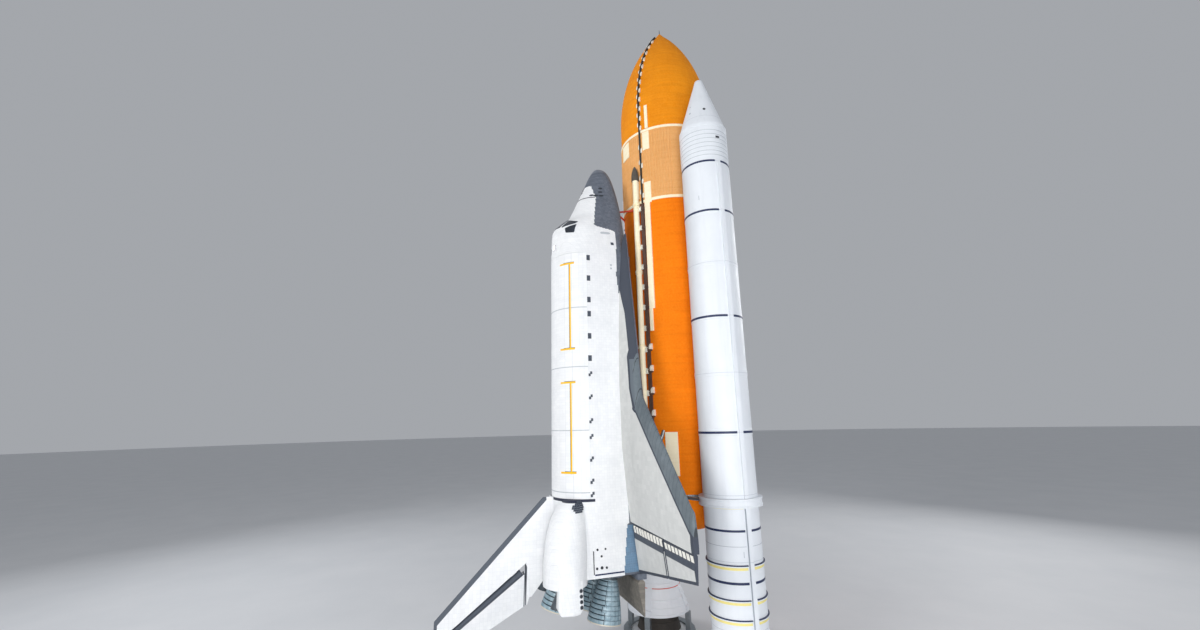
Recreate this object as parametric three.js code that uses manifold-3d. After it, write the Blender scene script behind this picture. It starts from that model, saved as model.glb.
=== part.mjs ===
// A space shuttle standing ready for launch: a winged orbiter on the side of its external tank, between two
// solid rocket boosters that stand on their hold-down stands. The model is half the real size.
//
// Every number below is in inches of the real vehicle. The exported group turns them into millimetres of the
// half-size model. Its frame has +Z up, +X to the orbiter's right wing and -Y out of the orbiter's back, and
// its origin is on the floor, at the middle of the ground that the whole model covers.
//
// Stations count downwards from the nose, as on the real vehicle. Tank stations run along the tank, booster
// stations along a booster, and the orbiter has stations along X, span along Y and height along Z.

import * as THREE from 'three';
import { LoftGeometry } from 'three/addons/geometries/LoftGeometry.js';
import { mergeVertices } from 'three/addons/utils/BufferGeometryUtils.js';
import Module from 'manifold-3d';

const wasm = await Module();
wasm.setup();

const SCALE = 1 / 2;
const MM_PER_INCH = 25.4 * SCALE;
const SEAT = 0.3 / MM_PER_INCH; // the gap left where one piece rests on another
const RUNNING = 0.5; // the gap beside a piece that moves
const DEGREE = Math.PI / 180;

const FLOOR_STATION = 2543; // the tank station of the floor
const BOOSTER_FLOOR = 2000; // the booster station of the floor
const ORBITER_FLOOR = 1802; // the orbiter station of the floor
const ORBITER_HEIGHT_AT_TANK_AXIS = 63.5; // the orbiter height that lies on the tank's axis
const BOOSTER_SPREAD = 250.5; // from the tank's axis to a booster's axis

const TANK = { radius: 165.5, sides: 36, ogiveRadius: 612, ogiveEnd: 765, noseBase: 371, tip: 322.5,
  intertankTop: 852.8, intertankEnd: 1123.2, barrelEnd: 2058, domeDepth: 115, flange: 2.2 };
const FEEDLINE = { angle: 23.6, radius: 9.5, standoff: 13, top: 1020, capLength: 45, bottom: 2105,
  collars: [1130, 1365, 1610, 1850, 2050] };
const TRAY = { angle: 30.4, width: 12, depth: 9, rampLength: 9, rampWidth: 18, rampPitch: 68, firstRamp: 1140,
  ramps: 13, end: 2040 };
const BOOSTER = { radius: 73, sides: 24, tip: 200, skirtTop: 400, caseTop: 525, caseEnd: 1837,
  ring: 1511, ringHalf: 11, ringRadius: 85, skirtEnd: 1930.6, skirtRadius: 106,
  exit: 1989.6, exitRadius: 74.8, bearing: 16 };
const BAY = { front: 582, back: 1307, centre: 402, doorRadius: 104, doorFlatter: 5.5, doorThickness: 4,
  sill: 416, side: 105, wellRadius: 92, shelf: 414, shelfSide: 98.4 };
const FIN = { rootZ: 500, tipZ: 815.7, rootX: 1277.9, rootChord: 268.5, tipChord: 108.5, wedge: 0.0525,
  rudderLow: 578, rudderHigh: 779 };
const WING = { rootY: 105, tipY: 468.3, breakY: 187, sweepX: 836, gloveSlope: 6.314, trailX: 1525.2,
  trailSlope: 0.1773, rootZ: 268, dihedral: 0.0612, thickness: 0.095, hingeX: 1387,
  edgeY: 168, edgeBand: 46 };
const FLAP = { hingeX: 1532, hingeZ: 283, half: 127, radius: 10.5, end: 1613 };
const ENGINE = { ball: 5, shield: 60, shieldEdge: 42, throat: 29, waist: 38.5, exit: 168, exitRadius: 47,
  swivel: 13.6, lip: 35 };

const up = (tankStation) => FLOOR_STATION - tankStation;
const boosterUp = (boosterStation) => BOOSTER_FLOOR - boosterStation;

const finish = (color, roughness, metalness = 0) =>
  new THREE.MeshStandardMaterial({ color, roughness, metalness });

const FOAM = finish(0xd9711c, 0.85);
const INTERTANK_FOAM = finish(0xd99a5c, 0.85);
const RAMP_FOAM = finish(0xe9d9a8, 0.8);
const BOOSTER_WHITE = finish(0xe9ebec, 0.55);
const STEEL = finish(0x8d9296, 0.4, 0.8);
const STRUT_RED = finish(0xd2482c, 0.5);
const TILE_WHITE = finish(0xf0f0ee, 0.75);
const TILE_BLACK = finish(0x4a4e55, 0.7);
const CARBON = finish(0x6c7075, 0.6);
const BELL = finish(0x7f99a6, 0.4, 0.5);
const NOZZLE_DARK = finish(0x3a3633, 0.8);

// Solids

function signedVolume(positions, triangles) {
  const corner = [new THREE.Vector3(), new THREE.Vector3(), new THREE.Vector3()];
  let sum = 0;
  for (let i = 0; i < triangles.length; i += 3) {
    corner.forEach((p, k) => p.fromArray(positions, 3 * triangles[i + k]));
    sum += corner[0].dot(corner[1].cross(corner[2]));
  }
  return sum;
}

function solid(geometry) {
  const bare = new THREE.BufferGeometry();
  bare.setAttribute('position', geometry.attributes.position);
  bare.setIndex(geometry.index);
  const merged = mergeVertices(bare, 1e-4);
  const vertProperties = new Float32Array(merged.attributes.position.array);
  const triVerts = new Uint32Array(merged.index.array);
  if (signedVolume(vertProperties, triVerts) < 0) {
    for (let i = 0; i < triVerts.length; i += 3) {
      [triVerts[i], triVerts[i + 1]] = [triVerts[i + 1], triVerts[i]];
    }
  }
  return new wasm.Manifold(new wasm.Mesh({ numProp: 3, vertProperties, triVerts }));
}

const join = (...solids) => solids.reduce((whole, next) => whole.add(next));
const cut = (whole, ...solids) => solids.reduce((left, next) => left.subtract(next), whole);

function geometryOf(made) {
  const mesh = made.getMesh();
  const geometry = new THREE.BufferGeometry();
  geometry.setAttribute('position', new THREE.BufferAttribute(new Float32Array(mesh.vertProperties), 3));
  geometry.setIndex(new THREE.BufferAttribute(new Uint32Array(mesh.triVerts), 1));
  geometry.computeVertexNormals();
  return geometry;
}

function lathe(profile, sides) {
  const points = profile.map(([radius, height]) => new THREE.Vector2(radius, height));
  return solid(new THREE.LatheGeometry(points, sides).rotateX(Math.PI / 2));
}

function box(low, high) {
  const size = high.map((value, k) => value - low[k]);
  const middle = high.map((value, k) => (value + low[k]) / 2);
  return solid(new THREE.BoxGeometry(...size).translate(...middle));
}

function rod(from, to, radius, endRadius = radius, sides = 12) {
  const start = new THREE.Vector3(...from);
  const along = new THREE.Vector3(...to).sub(start);
  const upright = new THREE.Vector3(0, 1, 0);
  const geometry = new THREE.CylinderGeometry(endRadius, radius, along.length(), sides);
  geometry.applyQuaternion(new THREE.Quaternion().setFromUnitVectors(upright, along.clone().normalize()));
  geometry.translate(...start.addScaledVector(along, 0.5).toArray());
  return solid(geometry);
}

function prism(outline, low, high) {
  const shape = new THREE.Shape(outline.map(([x, y]) => new THREE.Vector2(x, y)));
  const geometry = new THREE.ExtrudeGeometry(shape, { depth: high - low, bevelEnabled: false });
  return solid(geometry.translate(0, 0, low));
}

// The sections may wind either way. The sides face outwards when they wind about the way the loft runs.
function loft(sections) {
  const rings = sections.map((section) => section.map((p) => new THREE.Vector3(...p)));
  const [first, next] = rings;
  const winding = new THREE.Vector3();
  first.forEach((p, i) => winding.add(p.clone().cross(first[(i + 1) % first.length])));
  const middle = (ring) => ring.reduce((sum, p) => sum.add(p), new THREE.Vector3()).divideScalar(ring.length);
  if (winding.dot(middle(next).sub(middle(first))) < 0) rings.forEach((ring) => ring.reverse());
  return solid(new LoftGeometry(rings, { capStart: true, capEnd: true }));
}

const steps = (count, low, high) =>
  Array.from({ length: count + 1 }, (_, i) => low + ((high - low) * i) / count);

// What a round nose takes up as it turns about the line between two points, with the gap around it
function turningRod([from, to], radius, endRadius) {
  const sides = 48;
  const room = (r) => (r + SEAT) / Math.cos(Math.PI / sides);
  return rod(from, to, room(radius), room(endRadius), sides);
}

// Groups

function add(parent, name, made, material) {
  const mesh = new THREE.Mesh(geometryOf(made), material);
  mesh.name = name;
  parent.add(mesh);
  return mesh;
}

function groupAt(parent, x, y, z) {
  const group = new THREE.Group();
  group.position.set(x, y, z);
  parent.add(group);
  return group;
}

// The external tank

function ogiveRadius(station) {
  const { radius, ogiveRadius: arc, ogiveEnd } = TANK;
  return station > ogiveEnd ? radius : Math.sqrt(arc ** 2 - (ogiveEnd - station) ** 2) - (arc - radius);
}

// A box on the tank's skin: angle from the orbiter's side, standoffs from the skin, half width and stations
function onTank(angle, low, high, halfWidth, from, to) {
  const block = new THREE.BoxGeometry(2 * halfWidth, high - low, Math.abs(to - from));
  block.translate(0, -(TANK.radius + (low + high) / 2), up((from + to) / 2));
  block.rotateZ(angle * DEGREE);
  return solid(block);
}

function tankPoint(angle, radius, station) {
  return [radius * Math.sin(angle * DEGREE), -radius * Math.cos(angle * DEGREE), up(station)];
}

// A plain cylinder between two stations, standing off the tank's skin
const tankBarrel = (extra, low, high, sides = TANK.sides) => lathe([[0, up(low)],
  [TANK.radius + extra, up(low)], [TANK.radius + extra, up(high)], [0, up(high)]], sides);

const tankSkin = (extra) => tankBarrel(extra, 2200, 500);

function buildTank(stack) {
  const { radius, sides, tip, noseBase, intertankTop, intertankEnd, barrelEnd, domeDepth, flange } = TANK;
  const tank = groupAt(stack, 0, 0, 0);

  const noseRadius = ogiveRadius(noseBase);
  add(tank, 'et_nose_cap', lathe([[0, up(tip)], [1.6, up(tip + 1.5)], [1.6, up(tip + 12)], [8, up(tip + 15)],
    [noseRadius, up(noseBase - SEAT)], [0, up(noseBase - SEAT)]], 24), RAMP_FOAM);

  const ogive = steps(7, noseBase, TANK.ogiveEnd).map((station) => [ogiveRadius(station), up(station)]);
  add(tank, 'et_oxygen_tank', lathe([[0, up(noseBase)], ...ogive, [radius, up(intertankTop - SEAT)],
    [0, up(intertankTop - SEAT)]], sides), FOAM);

  const ribs = 0.8;
  add(tank, 'et_intertank', lathe([[0, up(intertankTop)], [radius + flange, up(intertankTop)],
    [radius + flange, up(intertankTop + 11)], [radius + ribs, up(intertankTop + 13)],
    [radius + ribs, up(intertankEnd - 13)], [radius + flange, up(intertankEnd - 11)],
    [radius + flange, up(intertankEnd - SEAT)], [0, up(intertankEnd - SEAT)]], sides), INTERTANK_FOAM);

  const dome = steps(5, 0, 90).map((a) =>
    [radius * Math.cos(a * DEGREE), up(barrelEnd + domeDepth * Math.sin(a * DEGREE))]);
  dome[dome.length - 1][0] = 0;
  const barrel = [[0, up(intertankEnd)], [radius, up(intertankEnd)]];
  add(tank, 'et_hydrogen_tank', lathe([...barrel, ...dome], sides), FOAM);

  buildFeedline(tank);
  buildTrays(tank);
  buildOrbiterStruts(tank);
}

// The last stretch of the feedline, out of its foot towards the orbiter's belly
function feedlineElbow(grow) {
  const [x, y] = tankPoint(FEEDLINE.angle, TANK.radius + FEEDLINE.standoff, 0);
  const height = up(FEEDLINE.bottom - FEEDLINE.radius);
  return rod([x, y, height], [x, ORBITER_HEIGHT_AT_TANK_AXIS - 266.5, height], FEEDLINE.radius + grow);
}

function buildFeedline(tank) {
  const { angle, radius, standoff, top, capLength, bottom, collars } = FEEDLINE;
  const centre = TANK.radius + standoff;
  const at = (station) => tankPoint(angle, centre, station);
  const line = join(
    rod(at(bottom), at(top), radius),
    rod(at(top), at(top - capLength), radius + 1, 1.5),
    feedlineElbow(0),
    ...collars.flatMap((station) => [
      rod(at(station + 5), at(station - 5), radius + 2.5),
      onTank(angle, -2, standoff, 5, station - 4, station + 4),
    ]),
    onTank(angle, -2, standoff, 6, top + 4, intertankFoot()),
  );
  add(tank, 'et_feedline', cut(line, tankSkin(SEAT), intertankSkin()), RAMP_FOAM);
}

const intertankFoot = () => TANK.intertankEnd - 20;

const intertankSkin = () =>
  tankBarrel(TANK.flange + SEAT, TANK.intertankEnd + SEAT, TANK.intertankTop - SEAT);

function buildTrays(tank) {
  const { angle, width, depth, rampLength, rampWidth, rampPitch, firstRamp } = TRAY;
  const ramps = steps(TRAY.ramps, firstRamp, firstRamp + TRAY.ramps * rampPitch).map((station) =>
    onTank(angle, -2, depth + 2, rampWidth / 2, station, station + rampLength));
  const tray = join(
    onTank(angle, 3.5, depth, width / 2, TANK.intertankEnd + 3, TRAY.end),
    onTank(angle + 4.6, -2, 5, 4.5, TANK.intertankEnd + 3, 1560),
    ...ramps,
  );
  add(tank, 'et_cable_tray', cut(tray, tankSkin(SEAT)), RAMP_FOAM);

  // The upper tray follows the ogive, as a strip drawn in the plane through the tank's axis.
  const stations = [1120, 850, 765, 700, 620, 540, 470, 410, 376];
  const strip = (standoff) => stations.map((station) => [ogiveRadius(station) + standoff, up(station)]);
  const outline = [...strip(TANK.flange + SEAT), ...strip(depth - 1).reverse()];
  const shape = new THREE.Shape(outline.map(([r, z]) => new THREE.Vector2(r, z)));
  const geometry = new THREE.ExtrudeGeometry(shape, { depth: width, bevelEnabled: false });
  geometry.translate(0, 0, -width / 2).rotateX(Math.PI / 2).rotateZ((angle - 90) * DEGREE);
  add(tank, 'et_upper_cable_tray', solid(geometry), RAMP_FOAM);
}

// The orbiter's skins, in the tank's frame, to seat the struts that carry it
const seenFromTank = (made) => made.transform(orbiterMatrix().toArray());

function buildOrbiterStruts(tank) {
  const belly = ORBITER_HEIGHT_AT_TANK_AXIS - 267;
  const forward = 1129;
  const tip = belly - 6;
  const bipod = join(
    rod([-47, -157, up(forward + 6)], [-3, tip + 4, up(forward)], 3.2),
    rod([47, -157, up(forward + 6)], [3, tip + 4, up(forward)], 3.2),
    box([-6, tip - 15, up(forward + 5)], [6, tip + 4, up(forward - 5)]),
  );
  const nose = seenFromTank(forwardBody(SEAT));
  add(tank, 'et_bipod', cut(bipod, tankSkin(SEAT), nose), STRUT_RED);

  const aft = 2058;
  const reach = 96.5;
  const tail = seenFromTank(aftBody(SEAT));
  for (const [side, name] of [[1, 'right'], [-1, 'left']]) {
    const struts = join(
      rod([side * reach, belly + 8, up(aft)], [side * (reach + 12), -120, up(aft + 2)], 5.5),
      rod([side * reach, belly + 9, up(aft - 2)], [side * (reach + 12), -120, up(aft - 190)], 5.5),
      box([side * reach - 7, belly - 12, up(aft + 7)], [side * reach + 7, belly + 14, up(aft - 7)]),
    );
    add(tank, `et_aft_struts_${name}`, cut(struts, tankSkin(SEAT), tail), STEEL);
  }

  const beam = join(
    box([-reach + 7 + SEAT, belly + 6, up(aft + 6)], [reach - 7 - SEAT, belly + 18, up(aft - 6)]),
    ...[1, -1].map((side) =>
      box([side * 70 - 19, belly - 8, up(aft + 66)], [side * 70 + 19, belly + 22, up(aft - 4)])),
    rod([-70, belly + 20, up(aft + 40)], [-66, -120, up(aft + 44)], 8),
  );
  add(tank, 'et_crossbeam', cut(beam, tankSkin(SEAT), domeSkin(), feedlineElbow(2 * SEAT), tail), STEEL);
}

const domeSkin = () => {
  const radius = TANK.radius + SEAT;
  const skin = new THREE.SphereGeometry(1, TANK.sides, 24).rotateX(Math.PI / 2);
  skin.scale(radius, radius, TANK.domeDepth + SEAT).translate(0, 0, up(TANK.barrelEnd));
  return solid(skin);
};

// The boosters

function boosterRing(outer, inner, from, to) {
  const [low, high] = [boosterUp(to), boosterUp(from)];
  return lathe([[inner, low], [outer, low], [outer, high], [inner, high], [inner, low]], BOOSTER.sides);
}

function buildBooster(stack, side, name) {
  const { radius, sides, tip, skirtTop, caseTop, caseEnd, ring, ringHalf, ringRadius } = BOOSTER;
  const booster = groupAt(stack, side * BOOSTER_SPREAD, 0, 0);
  const profile = (points) => lathe(points.map(([r, station]) => [r, boosterUp(station)]), sides);

  add(booster, `booster_nose_cone_${name}`, profile([[0, tip], [7, tip + 2], [11.5, tip + 5.5],
    [13.8, tip + 11], [radius, skirtTop - SEAT], [0, skirtTop - SEAT]]), BOOSTER_WHITE);

  const tankSide = BOOSTER_SPREAD - TANK.radius - 0.8 - 2 * SEAT;
  const thrust = box(side > 0 ? [-tankSide, -9, boosterUp(454)] : [60, -9, boosterUp(454)],
    side > 0 ? [-60, 9, boosterUp(430)] : [tankSide, 9, boosterUp(430)]);
  const barrel = profile([[0, skirtTop], [radius + 1, skirtTop], [radius + 1, skirtTop + 9],
    [radius, skirtTop + 10], [radius, caseTop - SEAT], [0, caseTop - SEAT]]);
  add(booster, `booster_forward_skirt_${name}`, join(barrel, thrust), BOOSTER_WHITE);

  const stiffeners = [1613, 1665, 1717].flatMap((station) =>
    [[radius, station - 2.5], [radius + 4, station], [radius, station + 2.5]]);
  const motor = profile([[0, caseTop], [radius, caseTop], ...stiffeners, [radius, caseEnd], [0, caseEnd]]);
  const tunnel = box(side > 0 ? [60, -5.5, boosterUp(1828)] : [-radius - 5, -5.5, boosterUp(1828)],
    side > 0 ? [radius + 5, 5.5, boosterUp(caseTop + 14)] : [-60, 5.5, boosterUp(caseTop + 14)]);
  const groove = boosterRing(ringRadius, radius - 0.6, ring - ringHalf - SEAT, ring + ringHalf + SEAT);
  add(booster, `booster_motor_case_${name}`, cut(join(motor, tunnel), groove), BOOSTER_WHITE);

  const hollow = tankBarrel(3, 2200, 1900, 72).translate([-side * BOOSTER_SPREAD, 0, 0]);
  const band = boosterRing(ringRadius, radius - 0.6 + SEAT, ring - ringHalf, ring + ringHalf);
  add(booster, `booster_attach_ring_${name}`, cut(band, hollow), BOOSTER_WHITE);

  buildBoosterTail(booster, profile, name);
  buildBoosterStruts(stack, side, name);
}

function buildBoosterTail(booster, profile, name) {
  const { caseEnd, skirtEnd, skirtRadius, exit, exitRadius, bearing } = BOOSTER;
  const feet = [45, 135, 225, 315];
  const radial = (angle, from, to, halfWidth, low, high) => solid(
    new THREE.BoxGeometry(to - from, 2 * halfWidth, high - low)
      .translate((from + to) / 2, 0, (low + high) / 2).rotateZ(angle * DEGREE));

  const skirt = profile([[70, caseEnd + SEAT], [74.6, caseEnd + SEAT], [74.6, caseEnd + 7],
    [104.5, skirtEnd - 9], [skirtRadius, skirtEnd - 8], [skirtRadius, skirtEnd], [102.5, skirtEnd],
    [102, skirtEnd - 8], [72, caseEnd + 8], [70, caseEnd + SEAT]]);
  const hem = boosterUp(skirtEnd);
  const pads = feet.map((angle) => radial(angle, 95, 108, 10, hem, hem + 20));
  add(booster, `booster_aft_skirt_${name}`, join(skirt, ...pads), BOOSTER_WHITE);

  const pivot = caseEnd + bearing + SEAT;
  const ball = new THREE.SphereGeometry(bearing, 16, 10).rotateX(Math.PI / 2);
  ball.translate(0, 0, boosterUp(pivot));
  add(booster, `booster_nozzle_bearing_${name}`, solid(ball), NOZZLE_DARK);

  const top = pivot + bearing + SEAT;
  add(booster, `booster_nozzle_${name}`, profile([[0, top], [31, top], [33, top + 10], [45, top + 35],
    [60, top + 72], [exitRadius, exit], [exitRadius - 2.6, exit], [57.5, top + 74], [42, top + 38],
    [28, top + 17], [0, top + 17]]), NOZZLE_DARK);

  const posts = feet.map((angle) => radial(angle, 97.5, 113, 9, 4, hem - SEAT));
  const plate = lathe([[99, 0], [124, 0], [124, 5], [99, 5], [99, 0]], BOOSTER.sides);
  add(booster, `hold_down_stand_${name}`, join(plate, ...posts), STEEL);
}

function buildBoosterStruts(stack, side, name) {
  const station = 2056;
  const low = up(station + 6);
  const high = up(station - 6);
  const [inner, outer] = [TANK.radius + SEAT, TANK.radius + 2];
  const ring = lathe([[inner, low], [outer, low], [outer, high], [inner, high], [inner, low]], 72);
  const sector = prism([[0, 0], [180, -128], [180, 128]], low, high);
  const arc = cut(ring, cut(box([-200, -200, low], [200, 200, high]), sector));
  const struts = [-1, 1].map((turn) =>
    rod([139, turn * 90, up(station)], [206, turn * 66, up(station)], 4.2));
  const reach = boosterRing(BOOSTER.ringRadius + SEAT, 1, 1480, 1540).translate([BOOSTER_SPREAD, 0, 0]);
  const made = cut(join(arc, cut(join(...struts), reach)), tankSkin(SEAT));
  add(stack, `booster_struts_${name}`, side > 0 ? made : made.mirror([1, 0, 0]), STEEL);
}

// The orbiter, in its own stations: X aft, Y to the right wing, Z out of its back

function orbiterMatrix() {
  const turn = new THREE.Matrix4().makeBasis(
    new THREE.Vector3(0, 0, -1), new THREE.Vector3(1, 0, 0), new THREE.Vector3(0, -1, 0));
  return turn.setPosition(0, ORBITER_HEIGHT_AT_TANK_AXIS, ORBITER_FLOOR);
}

function placeOrbiter(stack) {
  const orbiter = new THREE.Group();
  orbiter.applyMatrix4(orbiterMatrix());
  stack.add(orbiter);
  return orbiter;
}

// A fuselage section: a squarish belly below the widest line and a rounder back above it.
function bodySection([x, half, belly, widest, back, bellyPower, backPower], grow = 0, count = 32) {
  const power = (value, exponent) => Math.sign(value) * Math.abs(value) ** (2 / exponent);
  return Array.from({ length: count }, (_, i) => {
    const angle = (2 * Math.PI * i) / count;
    const above = Math.sin(angle) >= 0;
    const exponent = above ? backPower : bellyPower;
    const rise = above ? back - widest + grow : widest - belly + grow;
    const y = (half + grow) * power(Math.cos(angle), exponent);
    return [x, y, widest + rise * power(Math.sin(angle), exponent)];
  });
}

// station, half width, belly, widest line, back, belly power, back power
const FORWARD_SECTIONS = [
  [238, 5, 333, 338, 344, 2, 2],
  [243, 17, 321, 336, 352, 2, 2],
  [255, 31, 308, 332, 361, 2.1, 2],
  [278, 41, 297, 326, 373, 2.3, 2],
  [318, 49, 286, 318, 390, 2.6, 2],
  [366, 60, 278, 314, 411, 2.9, 2],
  [400, 70, 275, 314, 426, 3.1, 2],
  [436, 78, 272, 320, 444.5, 3.3, 2.1],
  [462, 84, 270, 332, 475, 3.6, 2.2],
  [487, 90, 269, 348, 496, 4, 2.2],
  [520, 96, 268, 364, 499.5, 4.8, 2.1],
  [582, 105, 267, 402, 500.5, 9, 2],
];
const AFT_SECTIONS = [
  [1307, 105, 267, 402, 500.5, 11, 2.05],
  [1400, 110, 267, 400, 499, 13, 2.6],
  [1508, 117, 267, 396, 497, 13, 3.4],
];

const forwardBody = (grow) => loft(FORWARD_SECTIONS.map(([x, ...rest], i, all) =>
  bodySection([i === all.length - 1 ? BAY.front - SEAT : x, ...rest], grow)));

function buildForwardFuselage(orbiter) {
  const whole = forwardBody(0);
  const capEnd = 262;
  const before = box([200, -200, 200], [capEnd - SEAT, 200, 600]);
  const after = box([capEnd, -200, 200], [700, 200, 600]);
  add(orbiter, 'nose_cap', whole.intersect(before), CARBON);

  // The hatch lies in a rebate, and rests on its shoulder around a narrower passage.
  const hatch = { x: 506, z: 362, skinY: -95, depth: 5, radius: 20, passage: 17, passageDepth: 42 };
  const bore = (radius, depth) =>
    rod([hatch.x, -140, hatch.z], [hatch.x, hatch.skinY + depth, hatch.z], radius, radius, 24);
  const opening = join(bore(hatch.radius, hatch.depth + SEAT), bore(hatch.passage, hatch.passageDepth));
  add(orbiter, 'forward_fuselage', cut(whole.intersect(after), opening), TILE_WHITE);
  add(orbiter, 'crew_hatch', whole.intersect(bore(hatch.radius - RUNNING, hatch.depth)), TILE_WHITE);
}

// A section drawn in Y and Z becomes a solid along X.
function alongX(outline, from, to) {
  const shape = new THREE.Shape(outline.map(([y, z]) => new THREE.Vector2(y, z)));
  const geometry = new THREE.ExtrudeGeometry(shape, { depth: to - from, bevelEnabled: false });
  geometry.applyMatrix4(new THREE.Matrix4().makeBasis(
    new THREE.Vector3(0, 1, 0), new THREE.Vector3(0, 0, 1), new THREE.Vector3(1, 0, 0)));
  return solid(geometry.translate(from, 0, 0));
}

// The sill has a lower shelf along its inner edge, which carries the payload.
function buildBay(orbiter) {
  const { front, back, centre, doorRadius, doorFlatter, doorThickness, sill, side } = BAY;
  const { wellRadius, shelf, shelfSide } = BAY;
  const belly = 267;
  const chine = steps(4, 0, 90).map((a) =>
    [side - 18 + 18 * Math.cos(a * DEGREE), belly + 18 - 18 * Math.sin(a * DEGREE)]);
  const well = steps(10, 0, 90).map((a) =>
    [wellRadius * Math.cos(a * DEGREE), centre - wellRadius * Math.sin(a * DEGREE)]);
  const half = [[side, sill], ...chine, [0, belly]];
  const inner = [[shelfSide, sill], [shelfSide, shelf], [wellRadius, shelf], ...well];
  const mirrored = (points) => points.map(([y, z]) => [-y, z]);
  const outline = [...half, ...mirrored(half.slice(0, -1)).reverse(),
    ...mirrored(inner.slice(0, -1)), ...inner.reverse()];
  add(orbiter, 'mid_fuselage', alongX(outline, front, back), TILE_WHITE);

  const lowest = (radius) => Math.asin((sill + SEAT - centre) / (radius - doorFlatter)) / DEGREE;
  const arc = (radius) => steps(12, lowest(radius), 90).map((a) =>
    [Math.max(radius * Math.cos(a * DEGREE), RUNNING / 2),
      centre + (radius - doorFlatter) * Math.sin(a * DEGREE)]);
  const door = [...arc(doorRadius), ...arc(doorRadius - doorThickness).reverse()];
  for (const [turn, name] of [[1, 'right'], [-1, 'left']]) {
    const made = alongX(door.map(([y, z]) => [turn * y, z]), front + RUNNING, back - RUNNING);
    add(orbiter, `payload_door_${name}`, made, TILE_WHITE);
  }
}

const aftBody = (grow) => loft(AFT_SECTIONS.map(([x, ...rest], i, all) =>
  bodySection([x + (i === all.length - 1 ? grow : 0), ...rest], grow)));

// Where each main engine hangs: its gimbal's station, span and height, and its tilts back and outwards.
const ENGINES = [
  { name: 'upper', x: 1445, y: 0, z: 443, pitch: 16, yaw: 0 },
  { name: 'right', x: 1468, y: 53, z: 342.6, pitch: 10, yaw: 3.5 },
  { name: 'left', x: 1468, y: -53, z: 342.6, pitch: 10, yaw: -3.5 },
];

function thrustMatrix({ x, y, z, pitch, yaw }) {
  const thrust = new THREE.Vector3(
    Math.cos(pitch * DEGREE) * Math.cos(yaw * DEGREE), Math.cos(pitch * DEGREE) * Math.sin(yaw * DEGREE),
    Math.sin(pitch * DEGREE));
  const turn = new THREE.Quaternion().setFromUnitVectors(new THREE.Vector3(0, 0, 1), thrust);
  return new THREE.Matrix4().compose(new THREE.Vector3(x, y, z), turn, new THREE.Vector3(1, 1, 1));
}

function aboutEngine(engine, profile) {
  const geometry = new THREE.LatheGeometry(profile.map(([r, s]) => new THREE.Vector2(r, s)), 20);
  return solid(geometry.rotateX(Math.PI / 2).applyMatrix4(thrustMatrix(engine)));
}

// A point of a sphere about the gimbal: radius, and angle from the thrust line
const onSphere = (radius, angle) => [radius * Math.sin(angle * DEGREE), radius * Math.cos(angle * DEGREE)];

const engineDomes = (grow) => join(...ENGINES.map((engine) => aboutEngine(engine, [[0, 20 - grow],
  [54 + grow, 20 - grow],
  [54 + grow, 34], ...[50, 42, ENGINE.lip - 0.5].map((angle) => onSphere(ENGINE.shield + 4 + grow, angle)),
  [0, 53]])));

// The bell of an engine beyond its shield: radius and distance from the gimbal
const bellOutline = () => [[ENGINE.throat, 87], [ENGINE.waist, 118], [ENGINE.exitRadius, ENGINE.exit]];

// All that an engine's bell sweeps as it swivels on both axes, with some room around it
function bellReach(engine, start, startRadius) {
  const [sine, cosine] = onSphere(1, ENGINE.swivel);
  const room = 2;
  const swept = bellOutline().map(([r, s]) => [s * sine + r * cosine + room, s * cosine - r * sine - room]);
  const last = swept[swept.length - 1][0];
  return aboutEngine(engine, [[0, start], [startRadius, start], ...swept, [last, 175], [0, 175]]);
}

const upperEngineReach = () => bellReach(ENGINES[0], 50, 47);

function buildAftFuselage(orbiter) {
  const { ball, shield } = ENGINE;
  const end = FLAP.hingeX - FLAP.radius - SEAT;
  const stub = join(box([1480, -112, 267], [1508, 112, 294]),
    box([1507, -FLAP.half, 267], [end, FLAP.half, 294]));
  const pocket = [[0, -ball - SEAT], [12, -ball - SEAT], [40, 22], [51, 31.5],
    ...[55, 45, ENGINE.lip].map((angle) => onSphere(shield + 1.5, angle)), [38, 56], [0, 56]];
  const pockets = ENGINES.map((engine) => aboutEngine(engine, pocket));
  const reaches = ENGINES.map((engine) => bellReach(engine, 54, 42));
  const whole = join(aftBody(0), stub, engineDomes(0));
  add(orbiter, 'aft_fuselage', cut(whole, ...pockets, ...reaches), TILE_WHITE);
}

function buildEngines(orbiter) {
  const { ball, shield, shieldEdge, waist, exit, exitRadius } = ENGINE;
  const zone = (radius, from, to) => steps(2, from, to).map((a) =>
    [radius * Math.sin(a * DEGREE), radius * Math.cos(a * DEGREE)]);
  const profile = [[0, ball + SEAT], [8, ball + SEAT], [9, 45], ...zone(shield - 2, 12, shieldEdge),
    ...zone(shield, shieldEdge, 20), ...bellOutline(), [exitRadius - 1.5, exit],
    [waist - 1.7, 118], [27, 87], [12, 62], [0, 57]];
  for (const engine of ENGINES) {
    const mount = new THREE.Group();
    mount.applyMatrix4(thrustMatrix(engine));
    orbiter.add(mount);
    add(mount, `engine_gimbal_${engine.name}`,
      solid(new THREE.SphereGeometry(ball, 12, 8).rotateX(Math.PI / 2)), STEEL);
    add(mount, `main_engine_${engine.name}`, lathe(profile, 20), BELL);
  }
}

// station, centre span, half width, centre height, half height of an orbital manoeuvring pod on the right
const POD_SECTIONS = [
  [1309, 70, 32, 458, 25],
  [1325, 71, 43, 466, 38],
  [1360, 73, 52, 474, 50],
  [1410, 76, 58, 480, 58],
  [1465, 79, 62, 484, 61],
  [1520, 82, 64, 486, 60],
];
const OMS = { x: 1520, y: 88, z: 492, pitch: 15.8, yaw: 6.5, base: 13 };

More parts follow.
